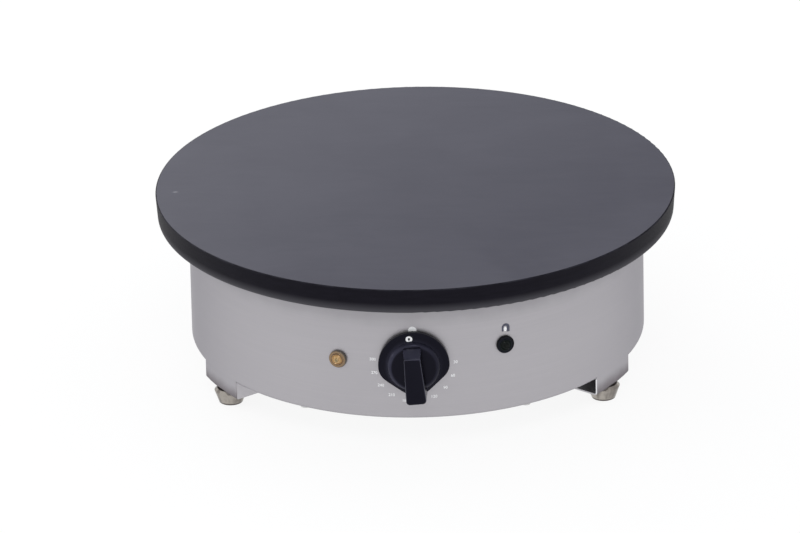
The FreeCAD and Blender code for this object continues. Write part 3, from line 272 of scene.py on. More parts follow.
def plate_ground():
    """The plate's ground top: worn grey iron with faint clouds, painted light that grows towards its back
    left, and one pale scuff at its left.
    """
    tree = Tree("plate_ground", Specular_IOR_Level=0.43)
    fine = tree.noise(1300.0, detail=5.0, rough=0.65)
    cloud = tree.noise(11.0, detail=4.0, rough=0.55, twist=0.6)
    smear = tree.noise(26.0, (1, 3.5, 1), detail=3.0, twist=1.0, shift=(3, 1, 0))
    shade = tree.total((cloud, 0.55), (smear, 0.3), (fine, 0.15))
    across = tree.math("SUBTRACT", tree.part("Y"), tree.part("X"))
    # Painted light across the plate from front right to back left, mixed with the clouds' own tone
    tone_and_painted_light = tree.math("ADD", tree.between(across, *PAINTED_LIGHT_DIAGONAL, 0.0, PAINTED_LIGHT_SHARE),
                       tree.between(shade, 0.38, 0.62, 0.0, 1 - PAINTED_LIGHT_SHARE))
    ground = tree.mix(tone_and_painted_light, GROUND_DARK, GROUND_LIGHT)
    scuff = tree.length(tree.mapped(SCUFF_STRETCH, SCUFF_SHIFT))
    frayed = tree.math("ADD", scuff, tree.math("MULTIPLY", tree.noise(420.0, detail=3.0), SCUFF_FRAY))
    worn = tree.between(frayed, *SCUFF_RADII, SCUFF_STRENGTH, 0.0, smooth=True)
    rough = tree.math("ADD", tree.vary(shade, 0.41, 0.49), tree.math("MULTIPLY", fine, 0.03))
    return tree.finish(tree.mix(worn, ground, SCUFF_COLOUR), rough, fine, 0.02 * MM)


# The plate's rim: the two tones of its black, the grey of the painted reflection on its lower edge, and the
# rubbed line at its top edge, in depths under the plate's top
RIM_DARK = (0.0026, 0.0020, 0.0058)
RIM_LIGHT = (0.0046, 0.0038, 0.0085)
RIM_PAINTED_REFLECTION = (0.078, 0.076, 0.086)
RIM_REFLECTION_HEIGHT = 8.5 * MM
RIM_REFLECTION_POWER = 1.15
RIM_RUBBED = (0.05, 0.05, 0.065)
RUB_STARTS = (1.0 * MM, 0.5 * MM)
RUB_ENDS = (0.25 * MM, 0.02 * MM)


def plate_rim():
    """The plate's turned rim and underside: nearly black, rubbed at the top edge, and grey towards the
    lower edge with a painted reflection.
    """
    tree = Tree("plate_rim", Specular_IOR_Level=0.11)
    height = tree.part("Z")
    rubbed = tree.product(
        tree.between(height, PLATE_TOP - RUB_STARTS[0], PLATE_TOP - RUB_STARTS[1], smooth=True),
        tree.between(height, PLATE_TOP - RUB_ENDS[0], PLATE_TOP - RUB_ENDS[1], 1.0, 0.2, smooth=True),
        tree.between(tree.noise(95.0, detail=4.0), 0.4, 0.62, 0.05, 0.35))
    fine = tree.noise(1100.0, (1, 1, 2), detail=4.0)
    rim = tree.mix(tree.between(tree.noise(60.0, (1, 1, 6), detail=4.0), *WIDE_TONE), RIM_DARK, RIM_LIGHT)
    # Painted reflection: the rim turns grey towards its lower edge
    lower = tree.between(height, PLATE_LOW + RIM_REFLECTION_HEIGHT, PLATE_LOW)
    rim = tree.mix(tree.math("POWER", lower, RIM_REFLECTION_POWER), rim, RIM_PAINTED_REFLECTION)
    return tree.finish(tree.mix(rubbed, rim, RIM_RUBBED), tree.vary(fine, 0.52, 0.66), fine, 0.03 * MM)


# The drum's sheet: its two tones, the tone of the painted shade under the plate, and the tones painted on
# the legs: shade low on their outer faces, light on their inner faces and a highlight on their cut edges
SHEET_DARK = (0.410, 0.397, 0.420)
SHEET_LIGHT = (0.447, 0.433, 0.456)
UNDER_PLATE_SHADE_COLOUR = (0.27, 0.262, 0.28)
UNDER_PLATE_SHADE_DEPTHS = (22 * MM, 6 * MM)
UNDER_PLATE_SHADE_STRENGTH = 0.55
LEG_TIP_SHADE_COLOUR = (0.175, 0.155, 0.165)
LEG_TIP_SHADE_HEIGHT = 13 * MM
LEG_TIP_SHADE_STRENGTH = 0.85
LEG_INSIDE_PAINTED_LIGHT = (0.50, 0.485, 0.51)
CUT_EDGE_HIGHLIGHT = (0.86, 0.86, 0.88)
CLOUD_REACH = 2 * MM
# Depths behind the drum wall's outer face between which its outer skin begins
SKIN_DEPTHS = (1.15 * MM, 0.95 * MM)
# How far above and under the drum's lower edge the sheet turns into a leg
LEG_BLEND = 0.5 * MM


def sideways(tree):
    """1 on faces that look along the drum's wall to its left, such as a leg's open edge, 0 on others."""
    faces = tree.nodes.new("ShaderNodeNewGeometry").outputs["True Normal"]
    outward = tree.vector("NORMALIZE", tree.mapped((1, 1, 0)))
    turn = tree.vector("CROSS_PRODUCT", outward, faces)
    return tree.between(tree.part("Z", turn), -0.6, -0.85)


def stainless():
    """Brushed sheet: fine level lines round the drum over slow changes of tone, with painted shade under
    the plate and low on the legs, painted light on the legs' inner faces and a painted highlight on their
    cut edges.
    """
    tree = Tree("brushed_stainless", 0.8, Specular_Tint=(0.5, 0.5, 0.52, 1.0))
    lines = tree.noise(1.0, (9, 9, 1500), detail=4.0, rough=0.7)
    coarse = tree.noise(1.0, (5, 5, 260), detail=3.0)
    broad = tree.noise(7.0, detail=3.0, twist=0.4)
    tone = tree.total((lines, 0.45), (coarse, 0.2), (broad, 0.35))
    sheet = tree.mix(tree.between(tone, *WIDE_TONE), SHEET_DARK, SHEET_LIGHT)
    height = tree.part("Z")
    cloudy = tree.math("ADD", height, tree.vary(tree.noise(48.0, detail=3.0), -CLOUD_REACH, CLOUD_REACH))
    # Painted shade: the sheet darkens just under the plate
    under_plate_shade = tree.between(cloudy, DRUM_TOP - UNDER_PLATE_SHADE_DEPTHS[0], DRUM_TOP - UNDER_PLATE_SHADE_DEPTHS[1], 0.0, UNDER_PLATE_SHADE_STRENGTH,
                         smooth=True)
    sheet = tree.mix(under_plate_shade, sheet, UNDER_PLATE_SHADE_COLOUR)
    radius = tree.length(tree.mapped((1, 1, 0)))
    skin = tree.between(radius, DRUM_RADIUS - SKIN_DEPTHS[0], DRUM_RADIUS - SKIN_DEPTHS[1])
    # Painted shade: the legs' outer faces darken towards their tips
    leg_tip_shade = tree.between(cloudy, LEG_TIP, LEG_TIP + LEG_TIP_SHADE_HEIGHT, LEG_TIP_SHADE_STRENGTH, 0.0, smooth=True)
    colour = tree.mix(tree.product(leg_tip_shade, skin), sheet, LEG_TIP_SHADE_COLOUR)
    leg = tree.between(height, DRUM_LOW + LEG_BLEND, DRUM_LOW - LEG_BLEND)
    inward = tree.math("SUBTRACT", 1.0, skin)
    # Painted light: the legs' inner faces are made lighter than the sheet
    colour = tree.mix(tree.product(leg, inward), colour, LEG_INSIDE_PAINTED_LIGHT)
    # Painted highlight along the legs' cut edges
    colour = tree.mix(tree.product(leg, skin, sideways(tree)), colour, CUT_EDGE_HIGHLIGHT)
    return tree.finish(colour, tree.vary(tone, 0.34, 0.43), lines, 0.004 * MM)


# The knob's plastic: the two tones of its black, and the tones of its painted highlights
KNOB_DARK = (0.0012, 0.0012, 0.0034)
KNOB_LIGHT = (0.0026, 0.0026, 0.0056)
KNOB_PAINTED_HIGHLIGHT = (0.036, 0.036, 0.056)
KNOB_EDGE_HIGHLIGHT = (0.05, 0.05, 0.068)
# The painted highlight line along the grip's front edge, in depths behind the grip's front
EDGE_STARTS = (1.5 * MM, 0.9 * MM)
EDGE_ENDS = (0.10 * MM, 0.5 * MM)
# The grip's end, which carries a painted highlight: its heights over the knob's middle, and how far out
# from the hub it becomes full
GRIP_END_RISE = (12.5 * MM, 14.0 * MM)
GRIP_END_OUT = 3 * MM
# The hub's shoulder, which carries a painted highlight: its radii, and its depths behind the hub's front;
# the highlight is weaker to the right
SHOULDER_RADII = (16.0 * MM, 18.0 * MM)
SHOULDER_STARTS = (4.4 * MM, 2.6 * MM)
SHOULDER_ENDS = (-0.3 * MM, 0.1 * MM)
SHOULDER_HALF_WIDTH = 16 * MM
SHOULDER_RIGHT = 0.4


def knob_plastic():
    """The knob's black plastic, with painted highlights on the grip's front edge, on its end and on the
    hub's shoulder.
    """
    tree = Tree("black_phenolic", Specular_IOR_Level=0.15, Specular_Tint=(0.74, 0.72, 1.0, 1.0))
    fine = tree.noise(1700.0, detail=4.0, rough=0.6)
    broad = tree.noise(60.0, detail=3.0, twist=0.4)
    tone = tree.total((fine, 0.5), (broad, 0.5))
    black = tree.mix(tree.between(tone, *TONE), KNOB_DARK, KNOB_LIGHT)
    out = tree.math("MULTIPLY", tree.part("Y"), -1.0)
    rise = tree.math("SUBTRACT", tree.part("Z"), KNOB_HEIGHT)
    radius = tree.length(tree.mapped((1, 0, 1), (0, 0, -KNOB_HEIGHT)))
    edge = tree.product(
        tree.between(out, GRIP_FRONT - EDGE_STARTS[0], GRIP_FRONT - EDGE_STARTS[1], smooth=True),
        tree.between(out, GRIP_FRONT - EDGE_ENDS[0], GRIP_FRONT - EDGE_ENDS[1], smooth=True))
    end = tree.product(
        tree.between(rise, *GRIP_END_RISE, smooth=True),
        tree.between(out, HUB_FRONT, HUB_FRONT + GRIP_END_OUT, smooth=True))
    shoulder = tree.product(
        tree.between(radius, *SHOULDER_RADII, smooth=True),
        tree.between(out, HUB_FRONT - SHOULDER_STARTS[0], HUB_FRONT - SHOULDER_STARTS[1], smooth=True),
        tree.between(out, HUB_FRONT - SHOULDER_ENDS[0], HUB_FRONT - SHOULDER_ENDS[1]),
        tree.between(tree.part("X"), -SHOULDER_HALF_WIDTH, SHOULDER_HALF_WIDTH, 1.0, SHOULDER_RIGHT),
        tree.between(broad, 0.35, 0.6, 0.7, 1.0))
    # Painted highlights: lighter black on the hub's shoulder and the grip's end, and a lighter line on the
    # grip's front edge
    black = tree.mix(tree.math("MAXIMUM", shoulder, end), black, KNOB_PAINTED_HIGHLIGHT)
    black = tree.mix(tree.product(edge, tree.between(broad, 0.3, 0.6, 0.4, 1.0)), black, KNOB_EDGE_HIGHLIGHT)
    return tree.finish(black, tree.vary(tone, 0.15, 0.23), fine, 0.005 * MM)


def zinc():
    """Galvanised steel, with the flat crystals of its coating."""
    tree = Tree("galvanised_steel", 1.0)
    crystal = tree.part("X", tree.cells(95.0))
    fine = tree.noise(900.0, detail=3.0)
    tone = tree.total((crystal, 0.7), (fine, 0.3))
    colour = tree.mix(tone, (0.42, 0.425, 0.43), (0.58, 0.58, 0.575))
    return tree.finish(colour, tree.between(tone, 0.0, 1.0, 0.34, 0.52), fine, 0.01 * MM)


# Painted shade on the feet: its colour, the height where the painted contact shadow at the lower edge thins
# out, and how strong its painted dark streaks are higher up
FOOT_PAINTED_SHADE = (0.065, 0.055, 0.055)
CONTACT_SHADE_HEIGHTS = (0.6 * MM, 2.2 * MM)
STREAK_STRENGTH = 0.62


def turned_metal(name, dark, light, roughness):
    """Metal with the fine level lines that a lathe leaves, with a painted contact shadow at its lower edge
    and painted dark streaks of shade above it.
    """
    tree = Tree(name, 1.0)
    lines = tree.noise(1.0, (12, 12, 2600), detail=3.0, rough=0.6)
    stain = tree.noise(130.0, detail=4.0, twist=0.5)
    tone = tree.total((lines, 0.5), (stain, 0.5))
    metal = tree.mix(tree.between(tone, *WIDE_TONE), dark, light)
    # Painted shade: dark streaks, and a painted contact shadow at the lower edge
    streaks = tree.between(tree.noise(1.0, (150, 150, 18), detail=2.0), 0.42, 0.62, 0.0, STREAK_STRENGTH)
    low = tree.between(tree.part("Z"), *CONTACT_SHADE_HEIGHTS, 1.0, 0.0, smooth=True)
    painted_shade = tree.math("MAXIMUM", low, streaks)
    return tree.finish(tree.mix(painted_shade, metal, FOOT_PAINTED_SHADE), tree.vary(tone, *roughness), lines, 0.006 * MM)


def heated_steel():
    """Element sheath: oxidised, with the straw and blue tints of old heat."""
    tree = Tree("heated_sheath", 0.85)
    tint = tree.noise(22.0, detail=4.0, twist=0.7)
    fine = tree.noise(1400.0, detail=4.0)
    colour = tree.ramp(tint, (0.3, (0.075, 0.07, 0.068)), (0.48, (0.15, 0.115, 0.085)),
                       (0.6, (0.10, 0.10, 0.125)), (0.75, (0.06, 0.055, 0.05)))
    return tree.finish(colour, tree.vary(fine, 0.45, 0.62), fine, 0.02 * MM)


def fibre():
    """Matted ceramic fibre."""
    tree = Tree("ceramic_fibre", 0.0, Specular_IOR_Level=0.2)
    strand = tree.noise(160.0, (1, 5, 2), detail=6.0, rough=0.7, twist=1.5)
    cross = tree.noise(140.0, (5, 1, 2), detail=6.0, rough=0.7, twist=1.5, shift=(2, 5, 1))
    both = tree.total((strand, 0.5), (cross, 0.5))
    return tree.finish(tree.mix(tree.between(both, *WIDE_TONE), (0.62, 0.59, 0.52), (0.82, 0.80, 0.75)),
                       tree.vary(both, 0.85, 0.98), both, 0.4 * MM)


# Turns of the earth wire's stripe, in radians for each metre
STRIPE_RATE = 900.0


def earth_sheath():
    """Green wire sheath with a yellow stripe that winds along it."""
    tree = Tree("earth_sheath")
    along = tree.math("ADD", tree.part("X"), tree.part("Z"))
    turns = tree.math("SINE", tree.math("MULTIPLY", along, STRIPE_RATE))
    fine = tree.noise(1200.0, detail=3.0)
    colour = tree.mix(tree.between(turns, -0.1, 0.1), (0.03, 0.20, 0.05), (0.62, 0.50, 0.04))
    return tree.finish(colour, tree.vary(fine, 0.42, 0.55), fine, 0.01 * MM)


def outward_frame(azimuth, height):
    """A frame on the drum wall: its Z points outward, its Y up and its X to the right."""
    angle = math.radians(azimuth)
    right = Vector((math.cos(angle), math.sin(angle), 0))
    up = Vector((0, 0, 1))
    out = Vector((math.sin(angle), -math.cos(angle), 0))
    turn = Matrix((right, up, out)).transposed()
    return Matrix.Translation(out * DRUM_RADIUS + up * height) @ turn.to_4x4()


# The rings' middle in the lamp's own frame, set left and down so that the amber lens's painted shade ring
# falls more to the right and top; the radius that stop 1 stands for, and how far the rings waver
RING_MIDDLE = (-0.5 * MM, -0.2 * MM, 0)
RING_RADIUS = 7.2 * MM
RING_WAVER = 0.22
# The amber stop at 0.62 is a dark ring of painted shade in the lens's groove
AMBER_RINGS_WITH_PAINTED_SHADE = ((0.0, (0.07, 0.065, 0.02)), (0.12, (0.24, 0.17, 0.06)), (0.27, (0.50, 0.31, 0.12)),
               (0.50, (0.40, 0.22, 0.06)), (0.62, (0.07, 0.025, 0.006)), (0.74, (0.26, 0.155, 0.06)),
               (0.90, (0.17, 0.11, 0.06)), (0.98, (0.05, 0.035, 0.02)))
GREEN_RINGS = ((0.0, (0.0012, 0.0025, 0.002)), (0.50, (0.0015, 0.0045, 0.0035)),
               (0.78, (0.0012, 0.002, 0.008)), (0.95, (0.0006, 0.0008, 0.003)))


def lens(name, place, stops, roughness, grain, metallic, coat, level):
    """Pilot-lamp lens: colour in rings round a middle set off the lens's axis, where the amber stops paint
    a dark ring of shade that falls more to the right and top, with facets that break up the light.
    """
    tree = Tree(name, metallic, Coat_Weight=coat, Coat_Roughness=0.06, Specular_IOR_Level=level)
    wall = outward_frame(*place)
    offset = tree.vector("SUBTRACT", tree.place, wall @ Vector(RING_MIDDLE))
    radius = tree.length(tree.vector("CROSS_PRODUCT", offset, wall.to_3x3() @ Vector((0, 0, 1))))
    wobble = tree.noise(grain, detail=3.0, twist=0.8)
    spread = tree.math("ADD", tree.between(radius, 0.0, RING_RADIUS),
                       tree.math("MULTIPLY", tree.math("SUBTRACT", wobble, 0.5), RING_WAVER))
    facets = tree.cells(700.0, output="Distance")
    return tree.finish(tree.ramp(spread, *stops), tree.vary(wobble, *roughness), facets, 0.05 * MM, 0.5)


def piece(name, mesh, material, body, matrix=None, smooth=True):
    """Puts a mesh into the scene as one named piece that rides on a body."""
    mesh.materials.clear()
    mesh.materials.append(material)
    if matrix is not None:
        mesh.transform(matrix)
    if smooth:
        mesh.shade_smooth()
    thing = bpy.data.objects.new(name, mesh)
    bpy.context.scene.collection.objects.link(thing)
    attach(thing, body)
    return thing


# A smaller radius than this is on the axis, and points nearer than this are one, in metres
ON_AXIS = 1e-9
MERGE_DISTANCE = 1e-6


def lathe(name, profile, segments=64):
    """A closed turned mesh; the profile is (radius, height) pairs that start and end on the axis."""
    build = bmesh.new()
    rings = []
    for radius, height in profile:
        if radius < ON_AXIS:
            rings.append([build.verts.new((0, 0, height))])
            continue
        rings.append([build.verts.new((radius * math.cos(step * math.tau / segments),
                                       radius * math.sin(step * math.tau / segments), height))
                      for step in range(segments)])
    for lower, upper in zip(rings, rings[1:]):
        for step in range(segments):
            following = (step + 1) % segments
            corners = []
            for corner in (lower[step % len(lower)], lower[following % len(lower)],
                           upper[following % len(upper)], upper[step % len(upper)]):
                if corner not in corners:
                    corners.append(corner)
            build.faces.new(corners)
    bmesh.ops.recalc_face_normals(build, faces=build.faces)
    mesh = bpy.data.meshes.new(name)
    build.to_mesh(mesh)
    build.free()
    return mesh


def solid_of(name, curve, middle):
    """The closed mesh of a filled and extruded curve, with its middle at a height."""
    holder = bpy.data.objects.new(name + "_holder", curve)
    mesh = bpy.data.meshes.new_from_object(holder)
    mesh.name = name
    bpy.data.objects.remove(holder)
    bpy.data.curves.remove(curve)
    build = bmesh.new()
    build.from_mesh(mesh)
    bmesh.ops.remove_doubles(build, verts=build.verts, dist=MERGE_DISTANCE)
    bmesh.ops.recalc_face_normals(build, faces=build.faces)
    build.to_mesh(mesh)
    build.free()
    mesh.transform(Matrix.Translation((0, 0, middle)))
    return mesh


def slab(name, loops, low, high):
    """A flat closed mesh between two heights, from outlines in x and y; later outlines are holes."""
    curve = bpy.data.curves.new(name + "_line", "CURVE")
    curve.dimensions = "2D"
    curve.fill_mode = "BOTH"
    curve.extrude = (high - low) / 2
    for loop in loops:
        spline = curve.splines.new("POLY")
        spline.points.add(len(loop) - 1)
        for point, (x, y) in zip(spline.points, loop):
            point.co = (x, y, 0, 1)
        spline.use_cyclic_u = True
    return solid_of(name, curve, (low + high) / 2)


# How much the digits' strokes are thickened, as a share of their size, and the steps on each curve
DIGIT_BOLD = 0.012
DIGIT_STEPS = 4


def digits(name, text, size, thickness):
    """Digits as one closed mesh, centred on the origin."""
    curve = bpy.data.curves.new(name + "_text", "FONT")
    curve.body = text
    curve.size = size
    curve.align_x = "CENTER"
    curve.align_y = "CENTER"
    curve.extrude = thickness / 2
    curve.offset = size * DIGIT_BOLD
    curve.resolution_u = DIGIT_STEPS
    return solid_of(name, curve, 0.0)


def wrapped(mesh, azimuth, height, lift):
    """Bends a flat mesh round the drum wall, with its origin at that azimuth and height."""
    for vertex in mesh.vertices:
        x, y, z = vertex.co
        angle = math.radians(azimuth) + x / DRUM_RADIUS
        reach = DRUM_RADIUS + lift + z
        vertex.co = (reach * math.sin(angle), -reach * math.cos(angle), height + y)
    return mesh


def circle(radius, count=40, middle=(0, 0), squeeze=1.0):
    """The points of a circle, or of an ellipse whose width is the circle's times squeeze."""
    return [(middle[0] + radius * squeeze * math.cos(step * math.tau / count),
             middle[1] + radius * math.sin(step * math.tau / count)) for step in range(count)]


def half_turn(steps):
    """Angles from the right over the top to the left."""
    return [math.pi * step / steps for step in range(steps + 1)]


def joined(name, meshes):
    """One mesh out of several, which are removed."""
    build = bmesh.new()
    for mesh in meshes:
        build.from_mesh(mesh)
        bpy.data.meshes.remove(mesh)
    whole = bpy.data.meshes.new(name)
    build.to_mesh(whole)
    build.free()
    return whole


materials = {
    "seasoned_iron": plate_rim(),
    "stainless": stainless(),
    "zinc_steel": zinc(),
    "bright_steel": grained("bright_steel", (0.50, 0.50, 0.50), (0.64, 0.64, 0.635), (0.22, 0.36),
                            metallic=1.0),
    "element_steel": heated_steel(),
    "feet_metal": turned_metal("turned_feet", (0.31, 0.285, 0.255), (0.42, 0.39, 0.355), (0.24, 0.36)),
    "black_phenolic": knob_plastic(),
    "black_nylon": grained("black_nylon", (0.014, 0.014, 0.016), (0.026, 0.026, 0.028), (0.5, 0.66),
                           depth=0.03 * MM),
    "white_nylon": grained("white_nylon", (0.66, 0.65, 0.61), (0.76, 0.75, 0.71), (0.42, 0.55),
                           patches=70.0),
    "amber_lens": lens("amber_lens", AMBER_PLACE, AMBER_RINGS_WITH_PAINTED_SHADE, (0.10, 0.22), grain=330.0, metallic=0.3,
                       coat=0.7, level=0.5),
    "green_lens": lens("green_lens", GREEN_PLACE, GREEN_RINGS, (0.08, 0.18), grain=260.0, metallic=0.0,
                       coat=0.12, level=0.07),
    "fibre": fibre(),
    "steatite": grained("steatite", (0.66, 0.64, 0.58), (0.82, 0.80, 0.74), (0.35, 0.52), grain=2200.0,
                        patches=90.0),
    "brass_parts": grained("brass", (0.50, 0.36, 0.14), (0.68, 0.52, 0.24), (0.22, 0.4), patches=120.0,
                           metallic=1.0),
    "copper_bulb": grained("copper", (0.52, 0.26, 0.16), (0.72, 0.43, 0.30), (0.24, 0.42), patches=110.0,
                           metallic=1.0),
    "silicone_wire": grained("silicone_sheath", (0.36, 0.055, 0.04), (0.46, 0.08, 0.06), (0.45, 0.6),
                             patches=60.0),
    "seal_rubber": grained("seal_rubber", (0.018, 0.018, 0.018), (0.034, 0.034, 0.034), (0.6, 0.78),
                           depth=0.03 * MM),
}
INK = {"roughness": (0.42, 0.55), "grain": 2600.0, "patches": 300.0}
white_ink = grained("white_ink", (0.93, 0.935, 0.94), (0.98, 0.985, 0.99), **INK)
grey_ink = grained("grey_ink", (0.045, 0.047, 0.078), (0.085, 0.088, 0.125), **INK)

for part in frame["record"]["subparts"]:
    node = frame["nodes"].get(part["node"])
    if node is not None:
        node.material_slots[0].material = materials[part["material_slot"]]
frame["nodes"]["earth_wire"].material_slots[0].material = earth_sheath()

# The plate as two surfaces: its ground top, and its black rim and underside
TOP_TOLERANCE = 0.01 * MM
plate_mesh = frame["nodes"]["griddle_plate"].data.copy()
plate = bpy.data.objects.new("plate", plate_mesh)
bpy.context.scene.collection.objects.link(plate)
plate_mesh.materials.clear()
plate_mesh.materials.append(plate_ground())
plate_mesh.materials.append(materials["seasoned_iron"])
for face in plate_mesh.polygons:
    lowest = min(plate_mesh.vertices[index].co.z for index in face.vertices)
    face.material_index = 0 if lowest > PLATE_TOP - TOP_TOLERANCE else 1
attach(plate, "crepe_maker")
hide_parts("griddle_plate")

# Lamp lenses with a middle button and stepped rings: millimetres from the axis and out from the drum wall
LENS_PROFILE = ((0.0, -0.8), (4.9, -0.8), (4.9, 2.25), (4.75, 2.55), (4.3, 2.75), (3.95, 2.55), (3.75, 2.2),
                (3.5, 2.15), (3.2, 2.6), (2.7, 3.1), (2.1, 3.45), (1.75, 3.4), (1.6, 3.1), (1.35, 3.1),
                (1.2, 3.5), (0.85, 3.8), (0.4, 3.92), (0.0, 3.95))
for colour, place in (("amber", AMBER_PLACE), ("green", GREEN_PLACE)):
    mesh = lathe(colour + "_lens", [(radius * MM, height * MM) for radius, height in LENS_PROFILE])
    cap = piece(colour + "_lens", mesh, materials[colour + "_lens"], "crepe_maker",
                outward_frame(*place))
    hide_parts(colour + "_lamp_lens")

# Dial on the drum: numbers from 30 to 300 round the knob, and the index dot above it
INK_LOW = -0.08 * MM
INK_HIGH = 0.06 * MM
DIAL_RADIUS = 31.5 * MM
DIAL_FIRST = 91.0
DIAL_STEP = 20.4
DIAL_COUNT = 10
DIAL_UNIT = 30
DIGIT_SIZE = 3.3 * MM
INDEX_SIDE = -0.26
INDEX_RISE = 27.2 * MM
INDEX_RADIUS = 3.1 * MM
labels = []
for step in range(DIAL_COUNT):
    angle = math.radians(DIAL_FIRST + DIAL_STEP * step)
    label = digits("number", str(DIAL_UNIT * (step + 1)), DIGIT_SIZE, INK_HIGH - INK_LOW)
    label.transform(Matrix.Translation((DIAL_RADIUS * math.sin(angle), DIAL_RADIUS * math.cos(angle), 0)))
    labels.append(label)
dial = wrapped(joined("dial_numbers", labels), 0.0, KNOB_HEIGHT, (INK_HIGH + INK_LOW) / 2)
piece("dial_numbers", dial, white_ink, "crepe_maker", smooth=False)

dot = slab("index_dot", [circle(INDEX_RADIUS)], INK_LOW, INK_HIGH)
dot = wrapped(dot, INDEX_SIDE, KNOB_HEIGHT + INDEX_RISE, 0.0)
piece("index_dot", dot, white_ink, "crepe_maker", smooth=False)

# Round off-mark on the knob's skirt
ZERO_RADIUS = 22.4 * MM
ZERO_ANGLE = math.radians(-8.5)
ZERO_HEIGHT = 5.2 * MM
ZERO_OUTLINE = circle(2.4 * MM, squeeze=1.05)
ZERO_HOLE = circle(1.15 * MM, squeeze=0.74)
ZERO_LOW = -0.5 * MM
ZERO_HIGH = 0.1 * MM
zero = slab("knob_zero", [ZERO_OUTLINE, ZERO_HOLE], ZERO_LOW, ZERO_HIGH)
zero.transform(Matrix.Translation((ZERO_RADIUS * math.sin(ZERO_ANGLE), ZERO_RADIUS * math.cos(ZERO_ANGLE),
                                   ZERO_HEIGHT)))
piece("knob_zero", zero, white_ink, "knob", outward_frame(0.0, KNOB_HEIGHT), smooth=False)

# Pictogram above the green lamp: a pale oval under a dark arch, whose left limb is thinner and shorter
SIGN_TURN = 0.3
SIGN_DROP = 49.4 * MM
SIGN_PLACE = (GREEN_PLACE[0] + SIGN_TURN, PLATE_TOP - SIGN_DROP)
LIMB_OUT = 3.2 * MM
LIMB_IN = 1.3 * MM
LIMB_SHIFT = -0.4 * MM
ARCH_FOOT = -3.0 * MM
ARCH_FOOT_LEFT = -2.3 * MM
ARCH_SPRING = 0.8 * MM
OUTER_STEPS = 20
INNER_STEPS = 16
OVAL_RADIUS = 1.7 * MM
OVAL_DROP = -0.6 * MM
OVAL_SQUEEZE = 0.72
OVAL_STEPS = 28
arch = [(LIMB_OUT * math.cos(a), ARCH_SPRING + LIMB_OUT * math.sin(a)) for a in half_turn(OUTER_STEPS)]
arch += [(-LIMB_OUT, ARCH_FOOT_LEFT), (LIMB_SHIFT - LIMB_IN, ARCH_FOOT_LEFT)]
arch += [(LIMB_SHIFT - LIMB_IN * math.cos(a), ARCH_SPRING + LIMB_IN * math.sin(a))
         for a in half_turn(INNER_STEPS)]
arch += [(LIMB_SHIFT + LIMB_IN, ARCH_FOOT), (LIMB_OUT, ARCH_FOOT)]
sign = wrapped(slab("lamp_sign", [arch], INK_LOW, INK_HIGH), *SIGN_PLACE, 0.0)
piece("lamp_sign", sign, grey_ink, "crepe_maker", smooth=False)
oval_line = circle(OVAL_RADIUS, OVAL_STEPS, (LIMB_SHIFT, OVAL_DROP), OVAL_SQUEEZE)
oval = wrapped(slab("lamp_sign_oval", [oval_line], INK_LOW, INK_HIGH), *SIGN_PLACE, 0.0)
piece("lamp_sign_oval", oval, white_ink, "crepe_maker", smooth=False)


def seen_rays(nodes, links):
    """1 for camera, glossy and transmission rays, 0 for the others."""
    path = nodes.new("ShaderNodeLightPath")
    total = path.outputs["Is Camera Ray"]
    for ray in ("Is Glossy Ray", "Is Transmission Ray"):
        add = nodes.new("ShaderNodeMath")
        add.use_clamp = True
        links.new(total, add.inputs[0])
        links.new(path.outputs[ray], add.inputs[1])
        total = add.outputs[0]
    return total


def mixed_shader(nodes, links, first, second):
    """A mix of two shaders; its first input is the share of the second one."""
    node = nodes.new("ShaderNodeMixShader")
    links.new(first.outputs[0], node.inputs[1])
    links.new(second.outputs[0], node.inputs[2])
    return node


def coloured(nodes, kind, colour):
    """A shader node with its colour set."""
    node = nodes.new(kind)
    node.inputs["Color"].default_value = (*colour, 1)
    return node


# The floor lies just under the feet. It glows nearly white as seen, and dims where light is kept off it
FLOOR_LEVEL = -0.1 * MM
FLOOR_HALF = 14.0
FLOOR_CELLS = 12
FLOOR_SEEN = (0.98, 0.98, 0.98)
FLOOR_AS_LIGHT = (0.8, 0.8, 0.8)
FLOOR_GLOW = 0.88
WHITE = (1, 1, 1)


def floor():
    """A pale floor that is white to the camera and in reflections, and keeps a soft shadow."""
    build = bmesh.new()
    bmesh.ops.create_grid(build, x_segments=FLOOR_CELLS, y_segments=FLOOR_CELLS, size=FLOOR_HALF)
    bmesh.ops.translate(build, verts=build.verts, vec=(0, 0, FLOOR_LEVEL))
    mesh = bpy.data.meshes.new("floor")
    build.to_mesh(mesh)
    build.free()
    thing = bpy.data.objects.new("floor", mesh)
    bpy.context.scene.collection.objects.link(thing)
    material = bpy.data.materials.new("floor")
    material.use_nodes = True
    nodes = material.node_tree.nodes
    links = material.node_tree.links
    nodes.clear()
    seen = mixed_shader(nodes, links, coloured(nodes, "ShaderNodeBsdfDiffuse", FLOOR_SEEN),
                        coloured(nodes, "ShaderNodeEmission", WHITE))
    seen.inputs[0].default_value = FLOOR_GLOW
    choice = mixed_shader(nodes, links, coloured(nodes, "ShaderNodeBsdfDiffuse", FLOOR_AS_LIGHT), seen)
    links.new(seen_rays(nodes, links), choice.inputs[0])
    out = nodes.new("ShaderNodeOutputMaterial")
    links.new(choice.outputs[0], out.inputs[0])
    mesh.materials.append(material)


WORLD_AS_LIGHT = (0.97, 0.98, 1.0)
WORLD_STRENGTH = 0.95


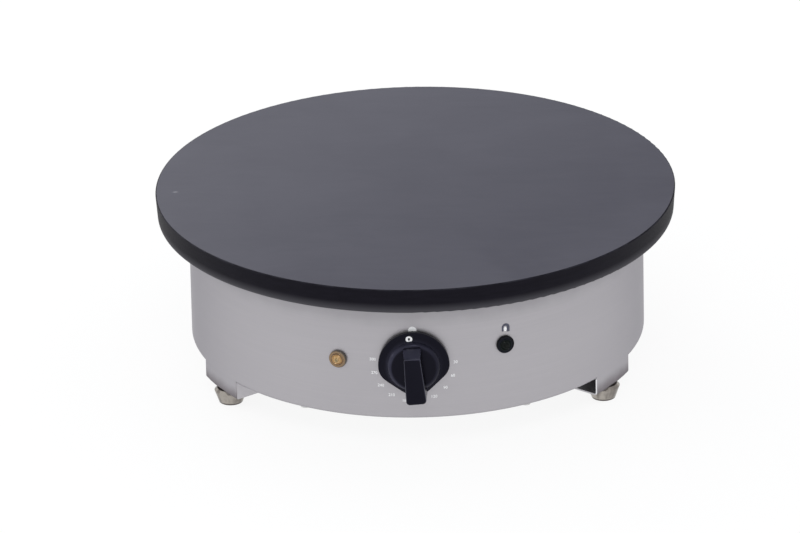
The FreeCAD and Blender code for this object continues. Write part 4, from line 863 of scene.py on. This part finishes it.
def world():
    """White as seen or mirrored, and a little lower as light."""
    space = bpy.data.worlds.new("studio")
    bpy.context.scene.world = space
    space.use_nodes = True
    nodes = space.node_tree.nodes
    links = space.node_tree.links
    nodes.clear()
    light = coloured(nodes, "ShaderNodeBackground", WORLD_AS_LIGHT)
    light.inputs["Strength"].default_value = WORLD_STRENGTH
    choice = mixed_shader(nodes, links, light, coloured(nodes, "ShaderNodeBackground", WHITE))
    links.new(seen_rays(nodes, links), choice.inputs[0])
    out = nodes.new("ShaderNodeOutputWorld")
    links.new(choice.outputs[0], out.inputs[0])


def lamp(name, place, aim, size, power):
    """A soft square lamp."""
    data = bpy.data.lights.new(name, "AREA")
    data.shape = "SQUARE"
    data.size = size
    data.energy = power
    thing = bpy.data.objects.new(name, data)
    bpy.context.scene.collection.objects.link(thing)
    thing.location = place
    thing.rotation_mode = "QUATERNION"
    thing.rotation_quaternion = (Vector(aim) - Vector(place)).to_track_quat("-Z", "Y")


def camera():
    """The photograph's view: far away with a long lens, turned a little about its own axis."""
    data = bpy.data.cameras.new("camera")
    data.sensor_width = SENSOR
    data.lens = FOCAL_PIXELS * SENSOR / IMAGE_WIDTH
    data.clip_end = CAMERA_CLIP
    thing = bpy.data.objects.new("camera", data)
    bpy.context.scene.collection.objects.link(thing)
    centre = Vector((0, 0, PLATE_TOP))
    away = Vector((math.sin(CAMERA_AZIMUTH) * math.cos(CAMERA_ELEVATION),
                   -math.cos(CAMERA_AZIMUTH) * math.cos(CAMERA_ELEVATION), math.sin(CAMERA_ELEVATION)))
    roll = Quaternion((0, 0, 1), CAMERA_ROLL)
    thing.rotation_mode = "QUATERNION"
    thing.location = centre + away * CAMERA_DISTANCE
    facing = (-away).to_track_quat("-Z", "Y") @ roll
    right = facing @ Vector((1, 0, 0))
    up = facing @ Vector((0, 1, 0))
    aim = centre + right * AIM_RIGHT + up * AIM_UP
    thing.rotation_quaternion = (aim - thing.location).to_track_quat("-Z", "Y") @ roll
    bpy.context.scene.camera = thing


floor()
world()
lamp("key_lamp", place=(-0.1, -2.4, 2.6), aim=(0, 0, 0.1), size=1.0, power=14.0)
lamp("side_lamp", place=(-2.9, -0.5, 0.7), aim=(0, 0, 0.08), size=0.5, power=4.0)
lamp("back_lamp", place=(-1.0, 1.5, 1.3), aim=(0, 0, 0.14), size=1.2, power=8.0)
camera()
bpy.context.scene.view_settings.view_transform = "Standard"
